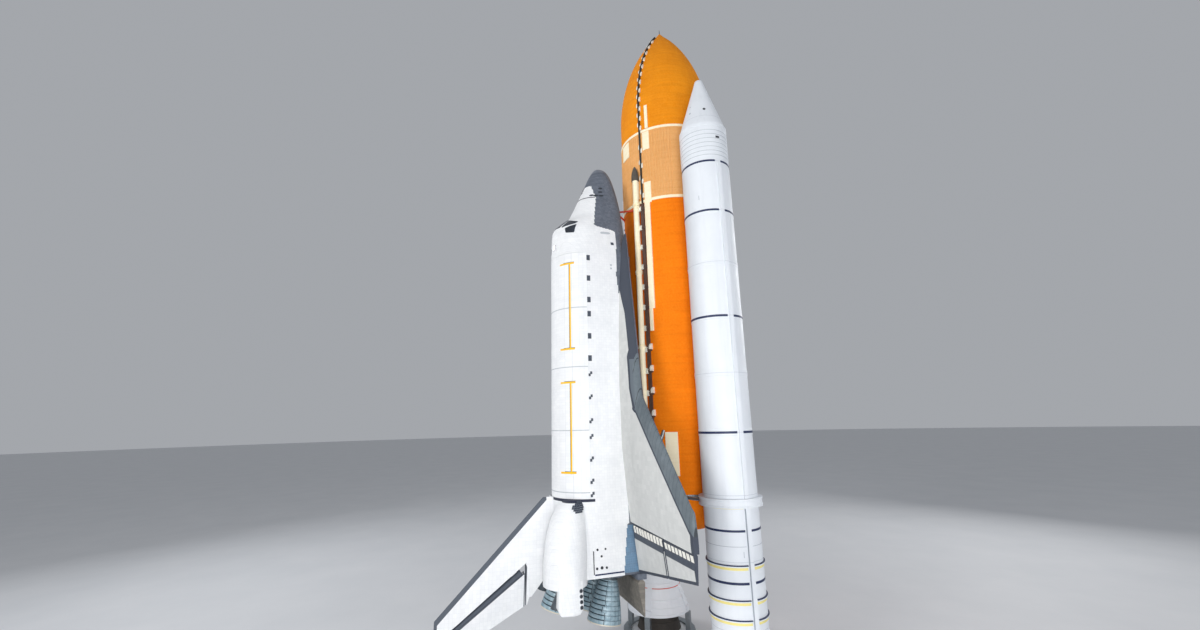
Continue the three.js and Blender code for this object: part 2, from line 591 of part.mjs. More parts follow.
function buildPods(orbiter) {
  const body = join(aftBody(SEAT), engineDomes(SEAT), upperEngineReach(),
    box([1200, -300, 300], [1307 + SEAT, 300, 600]));
  for (const [turn, name] of [[1, 'right'], [-1, 'left']]) {
    const shell = loft(POD_SECTIONS.map(([x, y, half, z, rise]) => Array.from({ length: 20 }, (_, i) => {
      const angle = (2 * Math.PI * i) / 20;
      return [x, turn * y + half * Math.cos(angle), z + rise * Math.sin(angle)];
    })));
    const housing = loft([[1500, 144, 454, 518], [1562, 152, 454, 520], [1578, 149, 462, 512]].map(
      ([x, outer, low, high]) => [[x, turn * 120, low], [x, turn * (outer - 6), low],
        [x, turn * outer, 480], [x, turn * (outer - 8), high], [x, turn * 120, high]]));
    const thrust = thrustMatrix({ ...OMS, y: turn * OMS.y, yaw: turn * OMS.yaw });
    const seat = new THREE.CylinderGeometry(24, 24, 50, 20).rotateX(Math.PI / 2).translate(0, 0, 25);
    const recess = solid(seat.applyMatrix4(thrust));
    add(orbiter, `oms_pod_${name}`, cut(join(shell, housing), body, recess), TILE_WHITE);

    const bell = [[0, SEAT], [OMS.base, SEAT], [11, 8], [15, 22], [19, 42], [21.6, 60], [20.6, 60],
      [18, 42], [13, 22], [0, 12]];
    const mount = new THREE.Group();
    mount.applyMatrix4(thrust);
    orbiter.add(mount);
    add(mount, `oms_engine_${name}`, lathe(bell, 16), BELL);
  }
}

// The fin and rudder

const finShare = (z) => (z - FIN.rootZ) / (FIN.tipZ - FIN.rootZ);
const finChord = (z) => FIN.rootChord + (FIN.tipChord - FIN.rootChord) * finShare(z);
const finLeading = (z) => FIN.rootX + (z - FIN.rootZ);
const hingeX = (z) => finLeading(z) + 0.6 * finChord(z);
const hingeHalf = (z) => FIN.wedge * finChord(z);
const spineRadius = (z) => 0.93 * hingeHalf(z);

function finSection(z) {
  const chord = finChord(z);
  const half = hingeHalf(z);
  // share of the chord, share of the half thickness
  const upperSide = [[0, 0.09], [0.012, 0.2], [0.1, 0.45], [0.3, 0.8], [0.6, 1], [1, 0.12]];
  const side = (turn) => upperSide.map(([s, t]) => [finLeading(z) + s * chord, turn * t * half, z]);
  return [...side(1), ...side(-1).reverse()];
}

// An outline in X and Z, made solid across Y.
function acrossY(outline, low, high) {
  const shape = new THREE.Shape(outline.map(([x, z]) => new THREE.Vector2(x, z)));
  const geometry = new THREE.ExtrudeGeometry(shape, { depth: high - low, bevelEnabled: false });
  return solid(geometry.translate(0, 0, -high).rotateX(Math.PI / 2));
}

function buildFin(orbiter) {
  const { rudderLow, rudderHigh, tipZ } = FIN;
  const spineLow = rudderLow + 12;
  const spineHigh = rudderHigh - 9;
  const spineEnds = [spineLow, spineHigh].map((z) => [hingeX(z), 0, z]);
  const whole = loft([finSection(470), finSection(tipZ)]);
  const ahead = 1.45; // how far ahead of the hinge line the rudder's bay starts, in hinge half thicknesses
  const bayX = (z) => hingeX(z) - ahead * hingeHalf(z) - 1;
  const bay = acrossY([[bayX(rudderLow), rudderLow], [1800, rudderLow], [1800, rudderHigh],
    [bayX(rudderHigh), rudderHigh]], -40, 40);
  const body = join(aftBody(SEAT), engineDomes(SEAT), upperEngineReach(),
    box([1200, -60, 300], [1307 + RUNNING, 60, 600]));
  const chute = loft([[1440, 10, 520, 560], [1500, 16, 528, 571], [1562, 14, 536, 568]].map(
    ([x, half, low, high]) =>
      [[x, -half, low], [x, half, low], [x, half * 0.8, high], [x, -half * 0.8, high]]));
  const pads = [[604, 618], [742, 754]].map(([low, high]) => cut(
    acrossY([[bayX(low) - 4, low], [hingeX(low), low], [hingeX(high), high], [bayX(high) - 4, high]],
      -2, 2),
    turningRod(spineEnds, spineRadius(spineLow), spineRadius(spineHigh))));
  add(orbiter, 'fin', join(cut(join(whole, chute), bay, body), ...pads), TILE_WHITE);

  const spine = (grow) => rod([hingeX(spineLow), 0, spineLow], [hingeX(spineHigh), 0, spineHigh],
    spineRadius(spineLow) + grow, spineRadius(spineHigh) + grow, 20);
  add(orbiter, 'rudder_spine', spine(0), TILE_BLACK);

  // The hinge line leans back, so the panels' ends rise and sink as they turn.
  const panelLow = rudderLow + 3.5;
  const panelTop = rudderHigh - 6;
  const startX = (z) => hingeX(z) + 0.4 * hingeHalf(z);
  for (const [turn, name] of [[1, 'right'], [-1, 'left']]) {
    const range = acrossY([[startX(panelLow), panelLow], [1800, panelLow], [1800, panelTop],
      [startX(panelTop), panelTop]], turn > 0 ? RUNNING / 2 : -40, turn > 0 ? 40 : -RUNNING / 2);
    const panel = cut(whole.intersect(range), spineCut(spineLow, spineHigh));
    add(orbiter, `rudder_panel_${name}`, panel, TILE_WHITE);
  }
}

// What the spine sweeps, drawn out past both of the rudder's ends
function spineCut(low, high) {
  const ends = [low - 40, high + 40];
  return turningRod(ends.map((z) => [hingeX(z), 0, z]), ...ends.map((z) => spineRadius(z)));
}

// The wings

const sweptLead = (y) => WING.sweepX + y;
const gloveLead = (y) => sweptLead(WING.breakY) - (WING.breakY - y) * WING.gloveSlope;
const wingLead = (y) => (y < WING.breakY ? gloveLead(y) : sweptLead(y));
const wingTrail = (y) => WING.trailX - WING.trailSlope * y;
const wingDepth = (y) => WING.thickness * (wingTrail(y) - sweptLead(y));
const wingBase = (y) => WING.rootZ + WING.dihedral * (y - WING.rootY);

function thicknessShare(s, peak) {
  return s < peak ? Math.sqrt(1 - (1 - s / peak) ** 2) : 1 - 0.96 * ((s - peak) / (1 - peak)) ** 1.5;
}

function wingHeights(y, x, lead = wingLead(y)) {
  const peak = y < WING.breakY ? 0.6 - (0.2 * (y - WING.rootY)) / (WING.breakY - WING.rootY) : 0.4;
  const share = thicknessShare((x - lead) / (wingTrail(y) - lead), peak);
  const low = wingBase(y) + 0.3 * wingDepth(y) * (1 - share);
  return [low, low + wingDepth(y) * share];
}

function wingSection(y, lead, end) {
  const shares = [0, 0.006, 0.03, 0.09, 0.2, 0.36, 0.55, 0.77, 1];
  const points = shares.map((s) => {
    const x = lead + s * (end - lead);
    const [low, high] = wingHeights(y, x, lead);
    return { x, low, high };
  });
  return [...points.slice(1).reverse().map(({ x, low }) => [x, y, low]), [points[0].x, y, points[0].low],
    ...points.slice(1).map(({ x, high }) => [x, y, high])];
}

const ELEVONS = [{ place: 'inboard', from: 120, to: 309 }, { place: 'outboard', from: 315, to: 462 }];

const elevonHalf = (y) => {
  const [low, high] = wingHeights(y, WING.hingeX);
  return (high - low) / 2;
};
const elevonHeight = (y) => {
  const [from, to] = [119, 462];
  const ends = [from, to].map((at) => {
    const [low, high] = wingHeights(at, WING.hingeX);
    return (low + high) / 2;
  });
  return ends[0] + ((ends[1] - ends[0]) * (y - from)) / (to - from);
};

const elevonNose = (y) => elevonHalf(y) * 0.97;

function elevonSection(y) {
  const half = elevonNose(y);
  const centre = elevonHeight(y);
  const nose = steps(6, 100, 260).map((a) =>
    [WING.hingeX + half * Math.cos(a * DEGREE), y, centre + half * Math.sin(a * DEGREE)]);
  const end = wingTrail(y);
  const [low, high] = wingHeights(y, end - 1);
  return [...nose, [end, y, (low + high) / 2 - 0.8], [end, y, (low + high) / 2 + 0.8]];
}

function mirrorSections(sections, turn) {
  return sections.map((section) => section.map(([x, y, z]) => [x, turn * y, z]));
}

function buildWings(orbiter) {
  const { rootY, tipY, breakY, hingeX: hinge, edgeY, edgeBand } = WING;
  const boxEnd = (y) => hinge - elevonHalf(y) - 2 * RUNNING;
  // span, leading edge station
  const sections = [rootY + SEAT, 118, 150, breakY, 250, 320, 400, 452].map((y) => [y, wingLead(y)]);
  sections.push([464, sweptLead(460)], [tipY, sweptLead(tipY) + 22]);
  const bodyOfWing = sections.map(([y, lead]) => wingSection(y, lead, boxEnd(Math.min(y, 462))));

  // The hot leading edge is the front of the same wing, split off along a line parallel to the edge.
  const edgeLine = (y, extra) => [wingLead(y) + edgeBand + extra, y];
  const edgeOutline = (extra) => [[600, edgeY - extra], edgeLine(edgeY, extra), edgeLine(breakY, extra),
    edgeLine(440, extra), [wingLead(460) + 50 + extra, 469], [wingLead(460) + 50 + extra, 520], [600, 520]];

  for (const [turn, name] of [[1, 'right'], [-1, 'left']]) {
    const wing = cut(loft(mirrorSections(bodyOfWing, turn)), aftBody(SEAT));
    const pads = ELEVONS.flatMap(({ from, to }) => [0.15, 0.85].map((share) => {
      const y = from + share * (to - from);
      const centre = elevonHeight(y);
      const pad = box([boxEnd(y) - 4, turn * y - 4, centre - 3], [hinge, turn * y + 4, centre + 3]);
      const ends = [from, to].map((at) => [hinge, turn * at, elevonHeight(at)]);
      return cut(pad, turningRod(ends, elevonNose(from), elevonNose(to)));
    }));
    const edgePrism = (extra) => prism(edgeOutline(extra).map(([x, y]) => [x, turn * y]), 200, 400);
    add(orbiter, `wing_${name}`, join(cut(wing, edgePrism(SEAT)), ...pads), TILE_WHITE);
    add(orbiter, `wing_edge_${name}`, wing.intersect(edgePrism(0)), CARBON);
    for (const { place, from, to } of ELEVONS) {
      const sectionsOfElevon = mirrorSections([elevonSection(from), elevonSection(to)], turn);
      add(orbiter, `elevon_${place}_${name}`, loft(sectionsOfElevon), TILE_WHITE);
    }
  }
}

function buildBodyFlap(orbiter) {
  const { hingeX: x, hingeZ: z, half, radius, end } = FLAP;
  const nose = steps(6, 100, 260).map((a) =>
    [x + radius * Math.cos(a * DEGREE), z + radius * Math.sin(a * DEGREE)]);
  add(orbiter, 'body_flap', acrossY([...nose, [end, z - 7], [end, z - 4]], -half, half), TILE_BLACK);
}

const shuttle = new THREE.Group();
const fullDepth = FIN.tipZ - ORBITER_HEIGHT_AT_TANK_AXIS + TANK.radius + TANK.flange;
const stack = groupAt(shuttle, 0, fullDepth / 2 - TANK.radius - TANK.flange, 0);
buildTank(stack);
buildBooster(stack, 1, 'right');
buildBooster(stack, -1, 'left');

const orbiter = placeOrbiter(stack);
buildForwardFuselage(orbiter);
buildBay(orbiter);
buildAftFuselage(orbiter);
buildEngines(orbiter);
buildPods(orbiter);
buildFin(orbiter);
buildWings(orbiter);
buildBodyFlap(orbiter);

shuttle.scale.setScalar(MM_PER_INCH);

export default shuttle;
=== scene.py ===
import math
from functools import partial, reduce

import bmesh
import bpy
from mathutils import Matrix, Vector


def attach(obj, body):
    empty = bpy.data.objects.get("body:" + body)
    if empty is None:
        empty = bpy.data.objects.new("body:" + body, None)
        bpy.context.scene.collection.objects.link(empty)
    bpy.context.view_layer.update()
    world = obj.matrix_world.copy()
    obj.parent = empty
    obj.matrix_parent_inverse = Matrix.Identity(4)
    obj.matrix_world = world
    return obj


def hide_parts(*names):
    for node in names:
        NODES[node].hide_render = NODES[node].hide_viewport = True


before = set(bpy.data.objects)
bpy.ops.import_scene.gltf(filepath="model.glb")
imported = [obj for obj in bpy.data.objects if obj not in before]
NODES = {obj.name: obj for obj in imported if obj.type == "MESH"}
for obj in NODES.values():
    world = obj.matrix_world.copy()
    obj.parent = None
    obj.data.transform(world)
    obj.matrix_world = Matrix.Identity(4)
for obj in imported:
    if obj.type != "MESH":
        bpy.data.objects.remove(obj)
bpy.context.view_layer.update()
STACK = "launch_stack"
SIDES = ((1, "right"), (-1, "left"))

INCH = 0.0127  # one real inch in the half-size model, in metres
DEGREE = math.pi / 180
SEAT = 0.3 / 12.7  # neighbouring solids keep 0.3 mm between them

AXIS = 292.25  # where the axes of the tank and the boosters lie along the frame's Y
BOOSTER_SPREAD = 250.5  # from the tank's axis to a booster's
ORBITER_ZERO = AXIS + 63.5  # where the orbiter's height is 0 along the frame's Y
TANK_FLOOR = 2543  # the station that each vehicle has at the floor
BOOSTER_FLOOR = 2000
ORBITER_FLOOR = 1802

TANK_RADIUS = 165.5
OGIVE_TOP = 371
OGIVE_END = 765
OGIVE_ARC = 612  # radius of the arc along the tank's nose
INTERTANK_TOP = 852.8
INTERTANK_END = 1123.2
DOME_TOP = 2058
DOME_DEPTH = 115
TRAY_ANGLE = 30.4  # from the side that faces the orbiter, towards starboard
LINE_ANGLE = 23.6
LINE_RADIUS = 9.5
LINE_OFF = TANK_RADIUS + 13

CONE_TOP = 211
CONE_END = 400
CONE_RADIUS = 13.8
CASE_RADIUS = 73
CASE_TOP = 525
CASE_END = 1837
SKIRT_TOP = 1844
NOZZLE_END = 1989.6
CASE_SEAM = 531.5  # the case's first seam, and from one seam to the next
SEGMENT = 160

BODY_HALF = 105
SIDE_FLARE = 1307  # the body's sides spread behind this station
FORWARD_END = 582
DOOR_HALF = 104
DOOR_MIDDLE = 402
DOOR_RISE = 98.5
BAY_ROUND = 1.056  # makes the bay's flattened section round
WING_LEAD = 836  # the swept leading edge lies at this station plus the span
WING_TRAIL = 1525.2  # station of the trailing edge at span 0, and how much it moves forward with the span
TRAIL_SWEEP = 0.1773
GLOVE_END = 187  # inboard of this span the strake's steeper edge leads
GLOVE_SWEEP = 6.314
WING_BELLY = 268  # height of the wing's underside at the body, and its rise with the span
WING_RISE = 0.0612
THICKNESS = 0.095  # of the wing, as a share of its depth from front to back
HINGE_X = 1387
ELEVON_ENDS = (119, 462)
BAND_TOP = 88  # the bands around an engine bell: the first, and from one to the next
BAND_STEP = 11.2


# Places

def orbiter(x, y, z):
    return Vector((y, ORBITER_ZERO - z, ORBITER_FLOOR - x)) * INCH


def tank(station, angle, radius):
    a = angle * DEGREE
    return Vector((radius * math.sin(a), AXIS - radius * math.cos(a), TANK_FLOOR - station)) * INCH


def booster(station, angle, radius):
    """Angle 0 is the outboard side and 90 the orbiter's side."""
    a = angle * DEGREE
    return Vector((BOOSTER_SPREAD + radius * math.cos(a), AXIS - radius * math.sin(a),
                   BOOSTER_FLOOR - station)) * INCH


def spread(low, high, count):
    return [low + (high - low) * i / count for i in range(count + 1)]


class Curve:
    """A smooth line through a short table that never overshoots its points."""

    def __init__(self, table):
        self.table = sorted(table)
        pairs = list(zip(self.table, self.table[1:]))
        rises = [(b[1] - a[1]) / (b[0] - a[0]) for a, b in pairs]
        inner = [0 if p * q <= 0 else 2 * p * q / (p + q) for p, q in zip(rises, rises[1:])]
        self.slopes = [rises[0], *inner, rises[-1]]

    def __call__(self, x):
        last = len(self.table) - 2
        i = max(0, min(last, sum(1 for p in self.table[1:-1] if p[0] <= x)))
        (a, low), (b, high) = self.table[i], self.table[i + 1]
        t = (x - a) / (b - a)
        t2, t3 = t * t, t * t * t
        return ((2 * t3 - 3 * t2 + 1) * low + (t3 - 2 * t2 + t) * (b - a) * self.slopes[i]
                + (3 * t2 - 2 * t3) * high + (t3 - t2) * (b - a) * self.slopes[i + 1])


def outline(curve, low, high, count):
    """A curve's values with their stations, as a profile to turn."""
    return [(curve(station), station) for station in spread(low, high, count)]


# Surfaces that details lie on

def raised(surface, u, v, lift):
    """The point of a surface at two of its measures, lifted off it."""
    here = surface(u, v)
    along, across = surface(u + 0.5, v) - here, surface(u, v + 0.5) - here
    return here + across.cross(along).normalized() * lift * INCH


# station, half width, belly, widest line, back, belly power, back power
FORWARD_SECTIONS = (
    (238, 5, 333, 338, 344, 2, 2),
    (243, 17, 321, 336, 352, 2, 2),
    (255, 31, 308, 332, 361, 2.1, 2),
    (278, 41, 297, 326, 373, 2.3, 2),
    (318, 49, 286, 318, 390, 2.6, 2),
    (366, 60, 278, 314, 411, 2.9, 2),
    (400, 70, 275, 314, 426, 3.1, 2),
    (436, 78, 272, 320, 444.5, 3.3, 2.1),
    (462, 84, 270, 332, 475, 3.6, 2.2),
    (487, 90, 269, 348, 496, 4, 2.2),
    (520, 96, 268, 364, 499.5, 4.8, 2.1),
    (582, 105, 267, 402, 500.5, 9, 2),
)
# station, middle's span, half width, middle's height, rise
POD_SECTIONS = (
    (1309, 70, 32, 458, 25),
    (1325, 71, 43, 466, 38),
    (1360, 73, 52, 474, 50),
    (1410, 76, 58, 480, 58),
    (1465, 79, 62, 484, 61),
    (1520, 82, 64, 486, 60),
)


def section_curves(sections):
    """One curve for each column after the station."""
    return [Curve([(row[0], row[k]) for row in sections]) for k in range(1, len(sections[0]))]


BODY_CURVES = section_curves(FORWARD_SECTIONS)
POD_CURVES = section_curves(POD_SECTIONS)


def forward_skin(x, angle):
    """A point of the forward fuselage: angle 0 is the starboard side, 90 the back and -90 the belly."""
    half, belly, widest, back, belly_power, back_power = [curve(x) for curve in BODY_CURVES]
    c, s = math.cos(angle * DEGREE), math.sin(angle * DEGREE)
    power = 2 / (back_power if s >= 0 else belly_power)
    rise = back - widest if s >= 0 else widest - belly
    across, up = math.copysign(abs(c) ** power, c), math.copysign(abs(s) ** power, s)
    return orbiter(x, half * across, widest + rise * up)


def door_skin(x, angle):
    a = angle * DEGREE
    return orbiter(x, DOOR_HALF * math.cos(a), DOOR_MIDDLE + DOOR_RISE * math.sin(a))


def side_skin(x, z):
    return orbiter(x, BODY_HALF + max(0, x - SIDE_FLARE) * 0.0581, z)


def pod_skin(x, angle):
    centre, half, height, rise = [curve(x) for curve in POD_CURVES]
    return orbiter(x, centre + half * math.cos(angle * DEGREE), height + rise * math.sin(angle * DEGREE))


def housing_skin(x, z):
    share = (x - 1500) / 62
    return orbiter(x, 144 + 8 * share - 6 * (480 - z) / 26, z)


def ogive_radius(station):
    if station > OGIVE_END:
        return TANK_RADIUS
    return math.sqrt(OGIVE_ARC ** 2 - (OGIVE_END - station) ** 2) - (OGIVE_ARC - TANK_RADIUS)


def tank_skin(angle, station):
    return tank(station, angle, ogive_radius(station))


def tank_line(station):
    return tank(station, LINE_ANGLE, LINE_OFF)


def booster_radius(station):
    slope = (CASE_RADIUS - CONE_RADIUS) / (CONE_END - CONE_TOP)
    return min(CASE_RADIUS, CONE_RADIUS + (station - CONE_TOP) * slope)


def booster_skin(station, angle):
    return booster(station, angle, booster_radius(station))


def skirt_radius(station):
    return 74.6 + (station - SKIRT_TOP) * 29.9 / 77.6


def skirt_skin(station, angle):
    return booster(station, angle, skirt_radius(station))


def wing_trail(y):
    return WING_TRAIL - TRAIL_SWEEP * y


def wing_depth(y):
    return THICKNESS * (wing_trail(y) - WING_LEAD - y)


def wing_floor(y):
    return WING_BELLY + WING_RISE * (y - BODY_HALF)


def wing_half(y):
    """The wing's middle height and half its thickness at the elevon's hinge line."""
    outer = y > GLOVE_END
    lead = WING_LEAD + y if outer else WING_LEAD + GLOVE_END - (GLOVE_END - y) * GLOVE_SWEEP
    peak = 0.4 if outer else 0.6 - 0.2 * (y - BODY_HALF) / (GLOVE_END - BODY_HALF)
    share = 1 - 0.96 * (((HINGE_X - lead) / (wing_trail(y) - lead) - peak) / (1 - peak)) ** 1.5
    depth = wing_depth(y)
    low = wing_floor(y) + 0.3 * depth * (1 - share)
    return low + depth * share / 2, depth * share / 2


def elevon_skin(y, x):
    """The upper side of an elevon: round over its nose and straight from there to the trailing edge."""
    inner, outer = ELEVON_ENDS
    root, tip = wing_half(inner)[0], wing_half(outer)[0]
    centre = root + (tip - root) * (y - inner) / (outer - inner)
    half = 0.97 * wing_half(y)[1]
    start = HINGE_X + half * math.cos(100 * DEGREE)
    top = centre + half * math.sin(100 * DEGREE)
    if x < start:
        return orbiter(x, y, centre + math.sqrt(max(0.01, half ** 2 - (x - HINGE_X) ** 2)))
    end = wing_floor(y) + 0.3 * wing_depth(y) * 0.96 + 0.02 * wing_depth(y) + 0.8
    return orbiter(x, y, top + (end - top) * (x - start) / (wing_trail(y) - start))


# Shapes

def put_in_scene(name, data):
    made = bpy.data.objects.new(name, data)
    bpy.context.scene.collection.objects.link(made)
    return made


def turn_outwards(mesh, weld=0.0):
    """Turns a mesh's faces outwards, and first joins points that lie closer than the weld."""
    work = bmesh.new()
    work.from_mesh(mesh)
    if weld:
        bmesh.ops.remove_doubles(work, verts=work.verts, dist=weld)
    bmesh.ops.recalc_face_normals(work, faces=work.faces)
    work.to_mesh(mesh)
    work.free()


class Shape:
    """Points and faces of one piece. Everything is drawn for the right side and mirrored for the left."""

    def __init__(self, side=1):
        self.side = side
        self.points, self.faces, self.paints, self.places = [], [], [], []

    def add(self, points, faces, paint=0, places=None):
        start = len(self.points)
        self.points += [Vector((p.x * self.side, p.y, p.z)) for p in points]
        self.places += places or [(0.0, 0.0, 0.0)] * len(points)
        self.faces += [tuple(start + i for i in face)[::self.side] for face in faces]
        self.paints += [paint] * len(faces)

    def sheet(self, rows, around=False, ends=False, paint=0, places=None):
        """A skin over rows of points. Around joins each row's ends, and ends closes the first and last."""
        count = len(rows[0])
        faces = []
        for r in range(len(rows) - 1):
            for c in range(count if around else count - 1):
                d = (c + 1) % count
                faces.append((r * count + c, r * count + d, (r + 1) * count + d, (r + 1) * count + c))
        if ends:
            faces += [tuple(range(count))[::-1], tuple(range((len(rows) - 1) * count, len(rows) * count))]
        self.add([p for row in rows for p in row], faces, paint, places)

    def lathe(self, place, profile, sides=96, paint=0):
        """A profile of radius and station, turned about an axis."""
        angles = spread(0, 360, sides)[:-1]
        rows = [[place(station, angle, radius) for angle in angles] for radius, station in profile]
        turns = [(math.cos(angle * DEGREE), math.sin(angle * DEGREE)) for angle in angles]
        places = [(c, s, station) for _, station in profile for c, s in turns]
        self.sheet(rows, around=True, paint=paint, places=places)

    def slab(self, surface, u, v, low, high, steps=(1, 1), paint=0):
        """A thin plate that follows a surface between two values of each of its measures."""
        us, vs = spread(*u, steps[0]), spread(*v, steps[1])
        n, m = len(us), len(vs)
        points = [raised(surface, a, b, lift) for lift in (high, low) for a in us for b in vs]
        faces = []
        for i in range(n - 1):
            for j in range(m - 1):
                quad = (i * m + j, (i + 1) * m + j, (i + 1) * m + j + 1, i * m + j + 1)
                faces += [quad, tuple(q + n * m for q in quad[::-1])]
        rim = [i * m for i in range(n)] + [(n - 1) * m + j for j in range(1, m)]
        rim += [i * m + m - 1 for i in range(n - 2, -1, -1)] + list(range(m - 2, 0, -1))
        faces += [(a, b, b + n * m, a + n * m) for a, b in zip(rim, rim[1:] + rim[:1])]
        self.add(points, faces, paint)

    def button(self, surface, corners, low, high, power=2, paint=0, count=32, reach=1.0):
        """A plate with a rounded outline, stretched between four corners on a surface."""
        def at(angle, share, lift):
            c, s = math.cos(angle), math.sin(angle)
            p = (1 + share * math.copysign(abs(c) ** (2 / power), c)) / 2
            q = (1 + share * math.copysign(abs(s) ** (2 / power), s)) / 2
            weights = ((1 - p) * (1 - q), p * (1 - q), p * q, (1 - p) * q)
            u = sum(w * corner[0] for w, corner in zip(weights, corners))
            v = sum(w * corner[1] for w, corner in zip(weights, corners))
            return raised(surface, u, v, lift)
        shares = (0.02, 0.35, 0.7, 1)
        rings = [(share, low) for share in shares] + [(share, high) for share in shares[::-1]]
        angles = [2 * math.pi * i / count for i in range(count)]
        self.sheet([[at(a, share * reach, lift) for a in angles] for share, lift in rings],
                   around=True, ends=True, paint=paint)

    def disc(self, surface, centre, radii, low, high, **kind):
        (u, v), (a, b) = centre, radii
        corners = ((u - a, v - b), (u + a, v - b), (u + a, v + b), (u - a, v + b))
        self.button(surface, corners, low, high, **kind)

    def tube(self, path, radii, sides, paint=0):
        """A round bar along a path, with one radius or one for each point."""
        radii = radii if isinstance(radii, (list, tuple)) else [radii] * len(path)
        rows = []
        for i, point in enumerate(path):
            ahead = (path[min(i + 1, len(path) - 1)] - path[max(i - 1, 0)]).normalized()
            side = ahead.cross(Vector((0, 0, 1)) if abs(ahead.z) < 0.9 else Vector((1, 0, 0))).normalized()
            top = side.cross(ahead)
            rows.append([point + (side * math.cos(a) + top * math.sin(a)) * radii[i] * INCH
                         for a in (2 * math.pi * k / sides for k in range(sides))])
        self.sheet(rows, around=True, ends=True, paint=paint)

    def block(self, place, low, high, paint=0):
        pick = [(0, 0, 0), (1, 0, 0), (1, 1, 0), (0, 1, 0), (0, 0, 1), (1, 0, 1), (1, 1, 1), (0, 1, 1)]
        points = [place(*(high[k] if up[k] else low[k] for k in range(3))) for up in pick]
        faces = [(0, 3, 2, 1), (4, 5, 6, 7), (0, 1, 5, 4), (1, 2, 6, 5), (2, 3, 7, 6), (3, 0, 4, 7)]
        self.add(points, faces, paint)

    def make(self, name, finishes, slot, body=STACK, stands_for=(), sharp=32, bevel=0):
        mesh = bpy.data.meshes.new(name)
        mesh.from_pydata(self.points, [], self.faces)
        mesh.polygons.foreach_set("material_index", self.paints)
        place = mesh.attributes.new("place", "FLOAT_VECTOR", "POINT")
        place.data.foreach_set("vector", [value for spot in self.places for value in spot])
        turn_outwards(mesh, weld=1e-5)
        mesh.shade_smooth()
        mesh.set_sharp_from_angle(angle=sharp * DEGREE)
        made = put_in_scene(name, mesh)
        for finish in finishes:
            mesh.materials.append(finish)
        if bevel:
            rounding = made.modifiers.new("rounded edges", "BEVEL")
            rounding.width = bevel * INCH
            rounding.segments = 2
            rounding.limit_method = "ANGLE"
            rounding.angle_limit = 40 * DEGREE
            rounding.harden_normals = True
        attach(made, body)
        if stands_for:
            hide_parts(*stands_for)
        return made

    def stand_in(self, node, finishes, slot, **kind):
        """Makes the piece that takes the place of one of the frame's nodes."""
        return self.make(f"{node}_skin", finishes, slot, stands_for=[node], **kind)


def carve(target, cutter, operation="DIFFERENCE"):
    """Cuts one mesh with another, which is then gone."""
    change = target.modifiers.new("carve", "BOOLEAN")
    change.operation = operation
    change.object = cutter
    change.solver = "EXACT"
    bpy.context.view_layer.update()
    shown = target.evaluated_get(bpy.context.evaluated_depsgraph_get())
    result = bpy.data.meshes.new_from_object(shown)
    target.modifiers.clear()
    old = target.data
    target.data = result
    bpy.data.meshes.remove(old)
    bpy.data.objects.remove(cutter)
    result.shade_smooth()
    result.set_sharp_from_angle(angle=32 * DEGREE)


# Shader graphs

def colour(code):
    """A colour from its six-digit code, as the shaders take it."""
    parts = [int(code[i:i + 2], 16) / 255 for i in (0, 2, 4)]
    return (*[c / 12.92 if c <= 0.04045 else ((c + 0.055) / 1.055) ** 2.4 for c in parts], 1.0)


class Graph:
    """Shorthand for a node tree: each method puts a node and gives what comes out of it."""

    def __init__(self, tree):
        self.tree = tree

    def join(self, value, socket):
        if isinstance(value, bpy.types.NodeSocket):
            self.tree.links.new(value, socket)
        else:
            socket.default_value = value

    def put(self, kind, inputs=None, out=0, **settings):
        node = self.tree.nodes.new(kind)
        for key, value in settings.items():
            setattr(node, key, value)
        for key, value in (inputs or {}).items():
            self.join(value, node.inputs[key])
        return node.outputs[out]

    def math(self, operation, first, second=0.0, third=0.0, clamp=False):
        inputs = {0: first, 1: second, 2: third}
        return self.put("ShaderNodeMath", inputs, operation=operation, use_clamp=clamp)

    def times(self, first, second):
        return self.math("MULTIPLY", first, second)

    def minus(self, first, second):
        return self.math("SUBTRACT", first, second)

    def linear(self, value, slope, start):
        return self.math("MULTIPLY_ADD", value, slope, start)

    def below(self, value, limit):
        return self.math("LESS_THAN", value, limit)

    def above(self, value, limit):
        return self.math("GREATER_THAN", value, limit)

    def wave(self, value, half):
        """A value that rises from 0 to half and falls again, over and over."""
        return self.math("PINGPONG", value, half)

    def either(self, *masks):
        return reduce(lambda first, second: self.math("MAXIMUM", first, second), masks)

    def both(self, *masks):
        return reduce(self.times, masks)

    def mix(self, mask, first, second):
        return self.put("ShaderNodeMix", {0: mask, 6: first, 7: second}, out=2, data_type="RGBA")

    def tint(self, base, code, mask, share=1.0):
        """A base colour with another laid over it where a mask says, as strongly as its share."""
        base = colour(base) if isinstance(base, str) else base
        return self.mix(mask if share == 1 else self.times(mask, share), base, colour(code))

    def split(self, vector):
        node = self.tree.nodes.new("ShaderNodeSeparateXYZ")
        self.join(vector, node.inputs[0])
        return list(node.outputs)

    def vector(self, x, y, z=0.0):
        return self.put("ShaderNodeCombineXYZ", {0: x, 1: y, 2: z})

    def noise(self, point, scale, detail, roughness=0.55):
        inputs = {"Vector": point, "Scale": scale, "Detail": detail, "Roughness": roughness}
        return self.put("ShaderNodeTexNoise", inputs)

    def use(self, group, **inputs):
        node = self.tree.nodes.new("ShaderNodeGroup")
        node.node_tree = group
        for key, value in inputs.items():
            self.join(value, node.inputs[key])
        return list(node.outputs) if len(node.outputs) > 1 else node.outputs[0]


